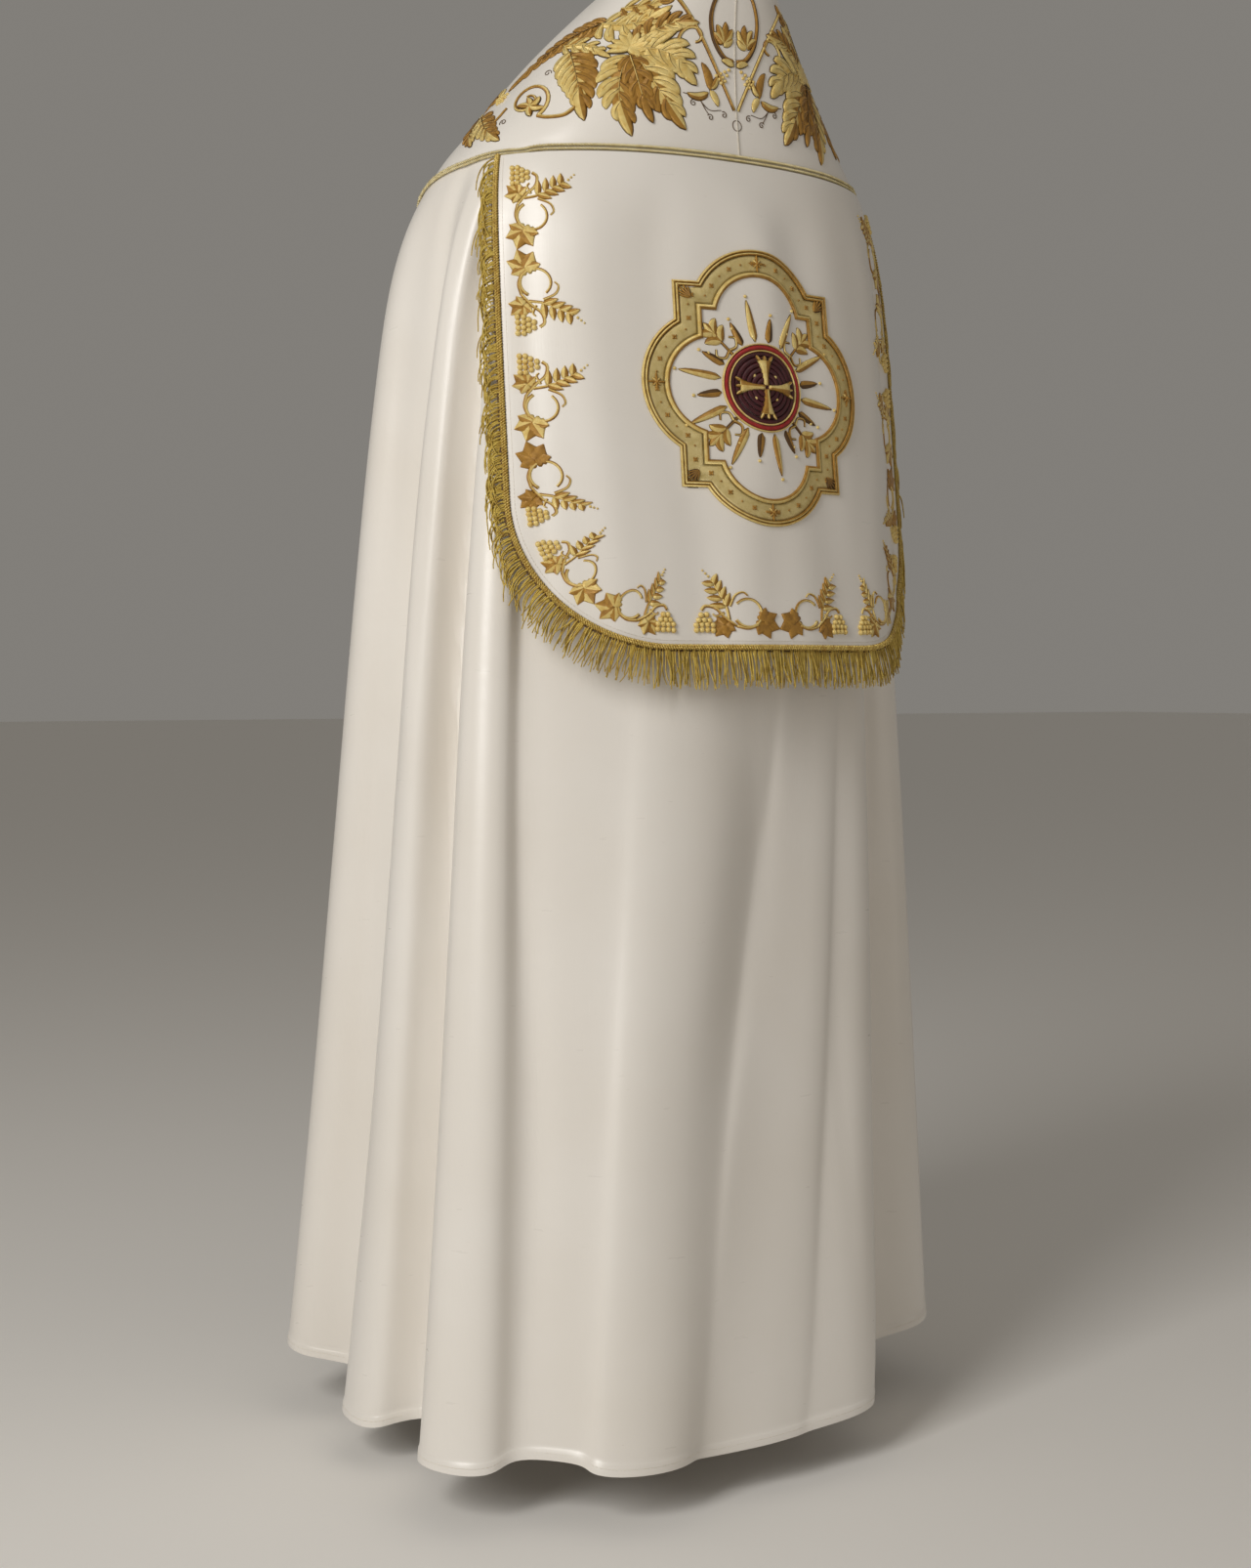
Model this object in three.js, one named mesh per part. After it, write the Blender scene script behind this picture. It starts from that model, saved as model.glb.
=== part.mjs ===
// A cope: a floor-length open cloak, hollow as it hangs from the wearer's shoulders.
// Millimetres, +Z up. The wearer faces -Y, and +X is the wearer's left.
// The origin is on the neck's axis, level with the neckline at the back.
import * as THREE from "three";

// Driving dimensions
const clothWall = 2;
const seamGap = 0.3;
const shieldWidth = 466; // at the seam
const shieldDrop = 452;
const shieldCorner = 128;
const shieldTaper = 0.05; // the share by which it is narrower at its lower edge
const shieldWall = 2;
const shieldHang = 13; // how far the shield's lower edge stands off the cloth behind it
const pipingRadius = 2.5;
const fringeHeader = 6;
const fringeLength = 36;
const strandCount = 190;
const morseWidth = 118;
const morseWall = 3;

// The form as rings from the neckline to the hem. Each row says how far its ring reaches from the neck's
// axis at the back, side and front, at what height it does so, how far it sways to the wearer's left, how
// much lower it hangs there, and how far the front edge lies from the middle.
const rings = [
  { back: 72, backZ: 0, side: 62, sideZ: -12, front: 92, frontZ: -50, sway: 1, lean: 0, edge: 28 },
  { back: 74, backZ: -45, side: 95, sideZ: -52, front: 137, frontZ: -90, sway: 7, lean: 0, edge: 30 },
  { back: 75, backZ: -100, side: 136, sideZ: -102, front: 180, frontZ: -134, sway: 10, lean: 0, edge: 31 },
  { back: 77, backZ: -160, side: 181, sideZ: -162, front: 219, frontZ: -186, sway: 10, lean: 0, edge: 32 },
  { back: 76, backZ: -215, side: 221, sideZ: -215, front: 250, frontZ: -238, sway: 5, lean: 0, edge: 32 },
  { back: 72, backZ: -300, side: 248, sideZ: -300, front: 277, frontZ: -312, sway: 1, lean: 0, edge: 33 },
  { back: 71, backZ: -440, side: 263, sideZ: -440, front: 300, frontZ: -446, sway: -3, lean: 0, edge: 38 },
  { back: 81, backZ: -650, side: 276, sideZ: -649, front: 325, frontZ: -650, sway: -4, lean: 1, edge: 48 },
  { back: 108, backZ: -880, side: 285, sideZ: -877, front: 353, frontZ: -868, sway: -1, lean: 4, edge: 58 },
  { back: 145, backZ: -1120, side: 291, sideZ: -1111, front: 378, frontZ: -1090, sway: 8, lean: 9, edge: 66 },
  { back: 187, backZ: -1372, side: 298, sideZ: -1356, front: 402, frontZ: -1334, sway: 21, lean: 13, edge: 72 },
];
const hemLevel = rings.length - 1;
const squareness = 2.3; // the rings are superellipses with this exponent

// Ridges and hollows round the cloth: the angle from the middle of the back towards the wearer's left,
// at the shoulder seam and at the hem, and how far the hem stands out of its ring and above it there.
const folds = [
  { top: -180, hem: -180, out: 0, rise: 0 },
  { top: -166, hem: -166, out: 0, rise: 0 },
  { top: -152, hem: -152, out: 8, rise: 3 },
  { top: -138, hem: -138, out: -8, rise: 0 },
  { top: -127, hem: -129, out: -34, rise: 0 },
  { top: -116, hem: -117, out: 16, rise: 6 },
  { top: -100, hem: -100, out: -46, rise: 0 },
  { top: -80, hem: -79, out: 18, rise: 7 },
  { top: -54, hem: -43, out: -84, rise: -6 },
  { top: -48, hem: -10, out: -10, rise: 4 },
  { top: -41, hem: 6, out: -6, rise: 3 },
  { top: -25, hem: 28, out: 44, rise: 8 },
  { top: 43, hem: 42, out: 26, rise: 15 },
  { top: 52, hem: 56, out: 63, rise: 6 },
  { top: 60, hem: 76, out: -28, rise: 0 },
  { top: 69, hem: 87, out: 6, rise: -7 },
  { top: 80, hem: 102, out: -44, rise: 4 },
  { top: 108, hem: 119, out: 24, rise: 12 },
  { top: 126, hem: 129, out: -34, rise: 4 },
  { top: 138, hem: 138, out: -8, rise: 0 },
  { top: 152, hem: 152, out: 8, rise: 3 },
  { top: 166, hem: 166, out: 0, rise: 0 },
  { top: 180, hem: 180, out: 0, rise: 0 },
];
const foldTop = 3.9; // the level where the folds begin
const foldGrowth = 0.8;
const foldRoundness = 0.6;

// The seam between the orphrey bands and the mantle runs level round the back, turns over each arm and
// falls straight down the front at one angle.
const seamAngle = 138;
const seamBackLevel = 3.92;
const seamCornerLevel = 5.6;
const seamCornerPower = 6;

const radians = THREE.MathUtils.degToRad;
const lerp = THREE.MathUtils.lerp;
const clamp = THREE.MathUtils.clamp;
const signedPower = (value, power) => Math.sign(value) * Math.abs(value) ** power;

// A column of the ring table at any level, along a smooth curve through its rows.
function ringValue(name, level) {
  const row = clamp(Math.floor(level), 0, hemLevel - 1);
  const f = clamp(level, 0, hemLevel) - row;
  const at = (i) => rings[clamp(i, 0, hemLevel)][name];
  const slopeStart = (at(row + 1) - at(row - 1)) / 2;
  const slopeEnd = (at(row + 2) - at(row)) / 2;
  const start = (2 * f ** 3 - 3 * f ** 2 + 1) * at(row) + (f ** 3 - 2 * f ** 2 + f) * slopeStart;
  return start + (3 * f ** 2 - 2 * f ** 3) * at(row + 1) + (f ** 3 - f ** 2) * slopeEnd;
}

// How far a fold stands out and rises at an angle and level, and how far round it is rolled, in degrees.
function foldAt(angle, level) {
  const grow = clamp((level - foldTop) / (hemLevel - foldTop), 0, 1);
  const markOf = (fold) => lerp(fold.top, fold.hem, grow);
  let next = folds.findIndex((fold) => markOf(fold) > angle);
  if (next < 1) next = next < 0 ? folds.length - 1 : 1;
  const [from, to] = [folds[next - 1], folds[next]];
  const span = markOf(to) - markOf(from);
  const f = clamp((angle - markOf(from)) / span, 0, 1);
  const blend = (1 - Math.cos(Math.PI * f)) / 2;
  const out = lerp(from.out, to.out, blend) * grow ** foldGrowth;
  const rise = lerp(from.rise, to.rise, blend) * grow;
  const roll = ((foldRoundness * Math.sin(2 * Math.PI * f)) / (2 * Math.PI)) * span * clamp(grow * 3, 0, 1);
  return { out, rise, roll };
}

// The point of the draped form at an angle and level, moved out by some millimetres. Smooth leaves out the folds.
function drape(angle, level, out = 0, smooth = false) {
  const [back, side, front] = ["back", "side", "front"].map((name) => ringValue(name, level));
  const fold = smooth ? { out: 0, rise: 0, roll: 0 } : foldAt(angle, level);
  const turn = radians(angle + fold.roll);
  const acrossShare = signedPower(Math.sin(turn), 2 / squareness);
  const alongShare = signedPower(Math.cos(turn), 2 / squareness);
  const half = (back + front) / 2;
  const normal = new THREE.Vector2(acrossShare / side, alongShare / half).normalize();
  const reach = fold.out + out;
  const endZ = ringValue(Math.cos(turn) > 0 ? "backZ" : "frontZ", level);
  const sideShare = Math.sin(turn) ** 2;
  return new THREE.Vector3(
    ringValue("sway", level) + side * acrossShare + reach * normal.x,
    (back - front) / 2 + half * alongShare + reach * normal.y,
    lerp(endZ, ringValue("sideZ", level), sideShare) - ringValue("lean", level) * Math.sin(turn) + fold.rise,
  );
}

// A point on a surface with its outward normal, the surface being a function of two numbers.
function withNormal(surface, a, b, stepA, stepB) {
  const alongA = surface(a + stepA, b).sub(surface(a - stepA, b));
  const alongB = surface(a, b + stepB).sub(surface(a, b - stepB));
  return { point: surface(a, b), normal: alongA.cross(alongB).normalize() };
}

const onDrape = (angle, level) => {
  const inside = clamp(level, 0.02, hemLevel - 0.02);
  const { normal } = withNormal((a, l) => drape(a, l), angle, inside, 0.25, 0.02);
  return { point: drape(angle, level), normal };
};

// A closed solid from a grid of places: its outer skin, its inner skin a thickness inside, and its rim.
// A grid that closes on itself has no rim at its two ends.
function wallGeometry(grid, outer, inner, closed = false) {
  const [rows, columns] = [grid.length, grid[0].length];
  const positions = [];
  for (const offset of [outer, inner]) {
    for (const row of grid) {
      for (const { point, normal } of row) {
        positions.push(...point.clone().addScaledVector(normal, offset).toArray());
      }
    }
  }
  const index = [];
  const at = (skin, i, j) => (skin * rows + (i % rows)) * columns + j;
  const quad = (a, b, c, d) => index.push(a, b, c, a, c, d);
  const lastRow = closed ? rows : rows - 1;
  for (let i = 0; i < lastRow; i++) {
    for (let j = 0; j < columns - 1; j++) {
      quad(at(0, i, j), at(0, i, j + 1), at(0, i + 1, j + 1), at(0, i + 1, j));
      quad(at(1, i, j), at(1, i + 1, j), at(1, i + 1, j + 1), at(1, i, j + 1));
    }
    quad(at(0, i, 0), at(0, i + 1, 0), at(1, i + 1, 0), at(1, i, 0));
    quad(at(0, i, columns - 1), at(1, i, columns - 1), at(1, i + 1, columns - 1), at(0, i + 1, columns - 1));
  }
  if (!closed) {
    for (let j = 0; j < columns - 1; j++) {
      quad(at(0, 0, j), at(1, 0, j), at(1, 0, j + 1), at(0, 0, j + 1));
      quad(at(0, rows - 1, j), at(0, rows - 1, j + 1), at(1, rows - 1, j + 1), at(1, rows - 1, j));
    }
  }
  return outwards(positions, index);
}

// A geometry from its points and triangles, turned so that its faces point out.
function outwards(positions, index) {
  const corner = (k) => new THREE.Vector3().fromArray(positions, 3 * index[k]);
  let volume = 0;
  for (let k = 0; k < index.length; k += 3) {
    volume += corner(k).dot(corner(k + 1).cross(corner(k + 2)));
  }
  const facing = volume > 0 ? index : [...index].reverse();
  const geometry = new THREE.BufferGeometry();
  geometry.setAttribute("position", new THREE.Float32BufferAttribute(positions, 3));
  return geometry.setIndex(facing);
}

// Moves an edge's places a little way from it, towards the next places in. Over the arms the seam slants,
// so its two sides are drawn back by more than half the gap.
const seamDraw = 0.85;
function drawBack(edge, next, gap) {
  edge.forEach((place, i) => {
    const inwards = next[i].point.clone().sub(place.point).normalize();
    place.point.addScaledVector(inwards, gap);
  });
}

const range = (count) => Array.from({ length: count }, (_, i) => i / (count - 1));

// The seam's level where it goes round the back and arms, by its share of the way to the front.
function seamLevel(share) {
  const fall = 1 - Math.sqrt(Math.max(0, 1 - Math.abs(share) ** seamCornerPower));
  return seamBackLevel + (seamCornerLevel - seamBackLevel) * fall;
}

// The angles of the mantle's columns on one side: a few in each fold, closer together at the front corner.
const columnAngle = 4;
function columnAngles(side) {
  const marks = folds.map((fold) => fold.hem * side).filter((mark) => mark >= 0 && mark <= seamAngle);
  marks.sort((a, b) => a - b);
  const angles = [0];
  marks.slice(1).forEach((mark, i) => {
    const last = i === marks.length - 2;
    const count = clamp(Math.ceil((mark - marks[i]) / columnAngle), 4, 8);
    for (let k = 1; k <= count; k++) {
      const f = k / count;
      angles.push(lerp(marks[i], mark, last ? 1 - (1 - f) ** 2 : f));
    }
  });
  return angles;
}

// Mantle: the body of the cope, from the shoulder seam to the hem.
const mantleRows = 14;
const rowShares = range(mantleRows).map((f) => f ** 1.15);
function mantleGeometry() {
  const right = columnAngles(-1).map((angle) => -angle).reverse();
  const angles = [...right, ...columnAngles(1).slice(1)];
  const grid = angles.map((angle) => {
    const top = seamLevel(angle / seamAngle);
    return rowShares.map((f) => onDrape(angle, lerp(top, hemLevel, f)));
  });
  const tops = grid.map((column) => column[0]);
  drawBack(tops, grid.map((column) => column[1]), seamDraw);
  return wallGeometry(grid, 0, -clothWall);
}

// Orphrey: a wide band on each side, from the seam at the middle of the back, over the shoulder and
// down the front. Its inner edge is the neckline and the front edge, and its outer edge is the seam.
const neckTurnAngle = 117; // the seam's angle that lies abreast of the neckline's front corner
const edgeLevelAtCorner = 3.4; // the front edge's level that lies abreast of the seam's front corner
const orphreyRows = 6;

function edgeAngle(level) {
  const share = (ringValue("edge", level) / ringValue("side", level)) ** (squareness / 2);
  return 180 - THREE.MathUtils.radToDeg(Math.asin(share));
}

function orphreyStations(side) {
  const round = columnAngles(side).map((angle) => {
    const seam = { angle, level: seamLevel(angle / seamAngle) };
    if (angle <= neckTurnAngle) return [{ angle: (edgeAngle(0) * angle) / neckTurnAngle, level: 0 }, seam];
    const down = ((angle - neckTurnAngle) / (seamAngle - neckTurnAngle)) * edgeLevelAtCorner;
    return [{ angle: edgeAngle(down), level: down }, seam];
  });
  const down = rowShares.slice(1).map((f) => {
    const level = lerp(edgeLevelAtCorner, hemLevel, f);
    return [{ angle: edgeAngle(level), level }, { angle: seamAngle, level: lerp(seamCornerLevel, hemLevel, f) }];
  });
  return [...round, ...down];
}

function orphreyGeometry(side) {
  const across = range(orphreyRows);
  const grid = orphreyStations(side).map(([inner, outer]) =>
    across.map((f) => onDrape(side * lerp(inner.angle, outer.angle, f), lerp(inner.level, outer.level, f))),
  );
  const last = orphreyRows - 1;
  drawBack(grid.map((row) => row[last]), grid.map((row) => row[last - 1]), seamDraw);
  drawBack(grid[0], grid[1], seamGap * 0.55);
  return wallGeometry(grid, 0, -clothWall);
}

// Piping: a cord sewn on the bands' outer edge, from hem to hem round the back.
const pipingSides = 6;
const pipingInset = 1.2;
const pipingStand = 0.5;
function pipingGeometry() {
  const half = (side) => {
    const stations = orphreyStations(side).map(([inner, outer]) => {
      const place = onDrape(side * outer.angle, outer.level);
      const within = drape(side * lerp(outer.angle, inner.angle, 0.1), lerp(outer.level, inner.level, 0.1));
      const inwards = within.sub(place.point).normalize();
      const centre = place.point.clone().addScaledVector(inwards, pipingInset);
      return { centre: centre.addScaledVector(place.normal, pipingRadius + pipingStand), ...place, inwards };
    });
    return stations;
  };
  const line = [...half(-1).reverse(), ...half(1).slice(1)];
  const positions = [];
  for (const { centre, normal, inwards } of line) {
    for (let k = 0; k < pipingSides; k++) {
      const turn = (2 * Math.PI * k) / pipingSides;
      const point = centre.clone().addScaledVector(normal, pipingRadius * Math.cos(turn));
      positions.push(...point.addScaledVector(inwards, pipingRadius * Math.sin(turn)).toArray());
    }
  }
  const index = [];
  for (let i = 0; i < line.length - 1; i++) {
    for (let k = 0; k < pipingSides; k++) {
      const [a, b] = [i * pipingSides + k, i * pipingSides + ((k + 1) % pipingSides)];
      index.push(a, b, b + pipingSides, a, b + pipingSides, a + pipingSides);
    }
  }
  const end = (line.length - 1) * pipingSides;
  for (let k = 1; k < pipingSides - 1; k++) {
    index.push(0, k + 1, k, end, end + k, end + k + 1);
  }
  return outwards(positions, index);
}

// Shield: a stiff flat panel with rounded lower corners that hangs from the seam over the back. A place on
// it is given flat, as the distance across from its middle line and down from the seam.
const shieldStand = 1.05; // its back over the cloth at the seam
const shieldTopGap = 2.6; // below the seam, to clear the piping
const shieldLift = 52; // how far the hem's left ridges push the shield's ring out, as the folds do
const shieldLiftAngles = { from: -52, to: -2 };
const ringSteps = 120;
const ringReach = 110;

function levelAtDrop(drop) {
  let [low, high] = [seamBackLevel, hemLevel];
  const target = drape(0, seamBackLevel, 0, true).z - drop;
  for (let k = 0; k < 30; k++) {
    const middle = (low + high) / 2;
    if (drape(0, middle, 0, true).z > target) low = middle;
    else high = middle;
  }
  return low;
}

// The angle whose place on a ring lies a given distance round it from the middle of the back.
function angleAcross(across, level) {
  const step = (Math.sign(across) * ringReach) / ringSteps;
  let [angle, gone] = [0, 0];
  let here = drape(0, level, 0, true);
  while (Math.abs(angle) < ringReach) {
    const next = drape(angle + step, level, 0, true);
    const length = Math.hypot(next.x - here.x, next.y - here.y);
    if (gone + length >= Math.abs(across)) return angle + (step * (Math.abs(across) - gone)) / length;
    [angle, gone, here] = [angle + step, gone + length, next];
  }
  return angle;
}

function shieldSurface(across, drop) {
  const level = levelAtDrop(drop);
  const angle = across === 0 ? 0 : angleAcross(across, level);
  const grow = clamp((level - foldTop) / (hemLevel - foldTop), 0, 1) ** foldGrowth;
  const lift = shieldLift * THREE.MathUtils.smoothstep(angle, shieldLiftAngles.from, shieldLiftAngles.to) * grow;
  const hang = shieldHang * (Math.max(drop, 0) / shieldDrop) ** 0.7;
  return drape(angle, level, shieldStand + shieldWall + lift + hang, true);
}

const onShield = (across, drop) => withNormal(shieldSurface, across, drop, 3, 3);
const tapered = (across, drop) => across * (1 - (shieldTaper * drop) / shieldDrop);

// The shield's edge from its top right corner, down, along and up to its top left corner, as flat places
// with the direction that faces out of the panel.
function shieldEdge(sideSteps, cornerSteps, bottomSteps) {
  const [halfWidth, straight] = [shieldWidth / 2 - shieldCorner, shieldDrop - shieldCorner];
  const half = [];
  for (let k = 0; k < sideSteps; k++) {
    half.push({ across: shieldWidth / 2, drop: lerp(shieldTopGap, straight, k / sideSteps), turn: 0 });
  }
  for (let k = 0; k <= cornerSteps; k++) {
    const turn = (Math.PI / 2) * (k / cornerSteps);
    const [outX, outY] = [Math.cos(turn), Math.sin(turn)];
    half.push({ across: halfWidth + shieldCorner * outX, drop: straight + shieldCorner * outY, turn });
  }
  for (let k = 1; k < bottomSteps; k++) {
    half.push({ across: lerp(halfWidth, 0, k / bottomSteps), drop: shieldDrop, turn: Math.PI / 2 });
  }
  const middle = { across: 0, drop: shieldDrop, turn: Math.PI / 2 };
  const mirrored = half.map(({ across, drop, turn }) => ({ across: -across, drop, turn: Math.PI - turn }));
  const edge = [...mirrored, middle, ...half.reverse()];
  return edge.map(({ across, drop, turn }) => ({ across: tapered(across, drop), drop, turn }));
}

const shieldRows = 13;
const shieldCornerColumns = 7;
const shieldMiddleColumns = 10;
function shieldGeometry() {
  const flat = shieldWidth / 2 - shieldCorner;
  const columns = [];
  for (let k = 0; k < shieldMiddleColumns; k++) {
    columns.push({ across: lerp(-flat, flat, k / shieldMiddleColumns), drop: shieldDrop });
  }
  columns.push({ across: flat, drop: shieldDrop });
  for (let k = 1; k <= shieldCornerColumns; k++) {
    const turn = ((Math.PI / 2) * k) / shieldCornerColumns;
    const drop = shieldDrop - shieldCorner + shieldCorner * Math.cos(turn);
    const across = flat + shieldCorner * Math.sin(turn);
    columns.push({ across, drop });
    columns.unshift({ across: -across, drop });
  }
  const grid = columns.map(({ across, drop }) =>
    range(shieldRows).map((f) => {
      const down = lerp(shieldTopGap, drop, f);
      return onShield(tapered(across, down), down);
    }),
  );
  return wallGeometry(grid, 0, -shieldWall);
}

// Fringe: a woven heading along the shield's edge, with flat locks of thread that leave it square and then
// fall. The locks stand side by side on the heading's outer rim and narrow towards their tips.
function fringeStations() {
  const edge = shieldEdge(60, 40, 40);
  const gone = [0];
  edge.slice(1).forEach(({ across, drop }, i) => {
    gone.push(gone[i] + Math.hypot(across - edge[i].across, drop - edge[i].drop));
  });
  return range(strandCount + 1).map((share) => {
    const wanted = share * gone[gone.length - 1];
    const i = clamp(gone.findIndex((length) => length >= wanted), 1, edge.length - 1);
    const f = (wanted - gone[i - 1]) / (gone[i] - gone[i - 1]);
    const between = (name) => lerp(edge[i - 1][name], edge[i][name], f);
    return { across: between("across"), drop: between("drop"), turn: between("turn") };
  });
}

// A flat place on the lock that grows at a station, a share of the way to its tip.
function lockPlace({ across, drop, turn }, f, sway) {
  const sideways = Math.cos(turn) ** 2;
  const out = seamGap + fringeHeader + fringeLength * f * (1 - 0.6 * sideways * f);
  const fall = fringeLength * 0.73 * sideways * f ** 1.6;
  return [
    across + out * Math.cos(turn) + sway * f * Math.sin(turn),
    drop + out * Math.sin(turn) + fall - sway * f * Math.cos(turn),
  ];
}

const lockRings = [0, 0.5, 1];
const tipShare = 0.62; // a lock's width at its tip, as a share of its width at the heading
const tipWall = 0.9;
function fringeGeometry() {
  const positions = [];
  const index = [];
  const add = ({ point, normal }, offset) => {
    positions.push(...point.clone().addScaledVector(normal, offset).toArray());
    return positions.length / 3 - 1;
  };
  const quad = (a, b, c, d) => index.push(a, b, c, a, c, d);
  const stations = fringeStations();
  const header = stations.map((station) => {
    const near = (seamGap + 0.2) * Math.cos(station.turn);
    const top = onShield(station.across + near, station.drop + (seamGap + 0.2) * Math.sin(station.turn));
    const root = onShield(...lockPlace(station, 0, 0));
    return [add(top, 0), add(root, 0), add(root, -shieldWall), add(top, -shieldWall)];
  });
  const last = stations.length - 1;
  quad(...header[0]);
  quad(...[...header[last]].reverse());
  for (let k = 0; k < last; k++) {
    const [a, b] = [header[k], header[k + 1]];
    quad(a[0], b[0], b[1], a[1]);
    quad(a[2], b[2], b[3], a[3]);
    quad(a[3], b[3], b[0], a[0]);
    const sway = 0.6 * Math.sin(2.4 * k);
    let before = [a[1], b[1], b[2], a[2]];
    for (const f of lockRings.slice(1)) {
      const from = lockPlace(stations[k], f, sway);
      const to = lockPlace(stations[k + 1], f, sway);
      const narrow = (1 - lerp(1, tipShare, f)) / 2;
      const left = onShield(lerp(from[0], to[0], narrow), lerp(from[1], to[1], narrow));
      const right = onShield(lerp(to[0], from[0], narrow), lerp(to[1], from[1], narrow));
      const face = -0.4 * f + 0.3 * f * Math.sin(5.1 * k);
      const back = face - lerp(shieldWall, tipWall, f);
      const ring = [add(left, face), add(right, face), add(right, back), add(left, back)];
      for (let side = 0; side < 4; side++) {
        const next = (side + 1) % 4;
        quad(before[side], before[next], ring[next], ring[side]);
      }
      before = ring;
    }
    quad(...before);
  }
  return outwards(positions, index);
}

// Medallion frame: a flat band in the outline of a rectangle with a round lobe on each side.
const medallion = { drop: 214, halfAcross: 83, halfDown: 95, lobe: 70 };
const medallionReach = { across: 115, down: 129 };
const frameWidth = 26;
const frameWall = 1.2;
const frameStand = 1.3;
const lobeSteps = 6;

// One quarter of the outline, drawn in by an inset, from the side lobe's tip to the top lobe's tip.
function medallionQuarter(inset) {
  const radius = medallion.lobe - inset;
  const side = medallionReach.across - medallion.lobe;
  const top = medallionReach.down - medallion.lobe;
  const corner = [medallion.halfAcross - inset, medallion.halfDown - inset];
  const sideEnd = Math.acos((corner[0] - side) / radius);
  const topEnd = Math.acos((corner[1] - top) / radius);
  const quarter = [];
  for (let k = 0; k <= lobeSteps; k++) {
    const turn = (sideEnd * k) / lobeSteps;
    quarter.push([side + radius * Math.cos(turn), radius * Math.sin(turn)]);
  }
  quarter.push(corner);
  for (let k = lobeSteps; k >= 0; k--) {
    const turn = (topEnd * k) / lobeSteps;
    quarter.push([radius * Math.sin(turn), top + radius * Math.cos(turn)]);
  }
  return quarter;
}

function medallionOutline(inset) {
  const quarter = medallionQuarter(inset);
  const mirror = (signX, signY, list) => list.map(([x, y]) => [signX * x, signY * y]);
  const reversed = [...quarter].reverse();
  return [
    ...mirror(1, 1, quarter.slice(0, -1)),
    ...mirror(-1, 1, reversed.slice(0, -1)),
    ...mirror(-1, -1, quarter.slice(0, -1)),
    ...mirror(1, -1, reversed.slice(0, -1)),
  ];
}

function medallionGeometry() {
  const outlines = [medallionOutline(0), medallionOutline(frameWidth)];
  const grid = outlines[0].map((_, i) =>
    outlines.map((outline) => onShield(outline[i][0], medallion.drop - outline[i][1])),
  );
  return wallGeometry(grid, frameStand + frameWall, frameStand, true);
}

// Morse: the cloth tab that joins the two fronts on the breast.
const morseLevels = { top: 4.12, bottom: 4.84 };
const morseStand = 0.38;
function morseGeometry() {
  const reach = (level) => (morseWidth / 2 / ringValue("side", level)) ** (squareness / 2);
  const grid = range(9).map((f) =>
    range(6).map((g) => {
      const level = lerp(morseLevels.top, morseLevels.bottom, g);
      const half = THREE.MathUtils.radToDeg(Math.asin(reach(level)));
      return onDrape(lerp(180 + half, 180 - half, f), level);
    }),
  );
  return wallGeometry(grid, morseStand + morseWall, morseStand);
}

// Materials
const ivorySatin = new THREE.MeshStandardMaterial({ color: 0xe2d9c8, roughness: 0.42, metalness: 0 });
const goldThread = new THREE.MeshStandardMaterial({ color: 0xb9963c, roughness: 0.38, metalness: 0.6 });
const paleGoldCord = new THREE.MeshStandardMaterial({ color: 0xd0bd82, roughness: 0.45, metalness: 0.4 });

const cope = new THREE.Group();
function addPiece(name, geometry, material) {
  const mesh = new THREE.Mesh(geometry, material);
  mesh.name = name;
  cope.add(mesh);
}

addPiece("mantle", mantleGeometry(), ivorySatin);
addPiece("orphrey_left", orphreyGeometry(1), ivorySatin);
addPiece("orphrey_right", orphreyGeometry(-1), ivorySatin);
addPiece("piping", pipingGeometry(), paleGoldCord);
addPiece("shield", shieldGeometry(), ivorySatin);
addPiece("fringe", fringeGeometry(), goldThread);
addPiece("medallion_frame", medallionGeometry(), goldThread);
addPiece("morse", morseGeometry(), ivorySatin);

export default cope;
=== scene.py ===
# A cope in ivory satin with gold embroidery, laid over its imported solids.
import math
import bpy
import numpy as np
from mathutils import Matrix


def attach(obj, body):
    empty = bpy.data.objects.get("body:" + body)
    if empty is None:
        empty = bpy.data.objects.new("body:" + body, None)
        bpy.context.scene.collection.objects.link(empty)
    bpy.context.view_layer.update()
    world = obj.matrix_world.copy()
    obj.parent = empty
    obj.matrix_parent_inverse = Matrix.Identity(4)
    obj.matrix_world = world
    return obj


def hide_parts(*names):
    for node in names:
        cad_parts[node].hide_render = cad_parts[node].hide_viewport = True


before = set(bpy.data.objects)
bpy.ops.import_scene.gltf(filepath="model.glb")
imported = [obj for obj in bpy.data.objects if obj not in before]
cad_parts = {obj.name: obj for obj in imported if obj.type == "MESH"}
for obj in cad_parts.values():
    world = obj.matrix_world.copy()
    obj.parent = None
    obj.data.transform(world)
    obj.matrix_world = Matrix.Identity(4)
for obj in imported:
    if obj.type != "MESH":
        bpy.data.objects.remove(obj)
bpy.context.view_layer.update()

print("frame loaded")

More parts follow.
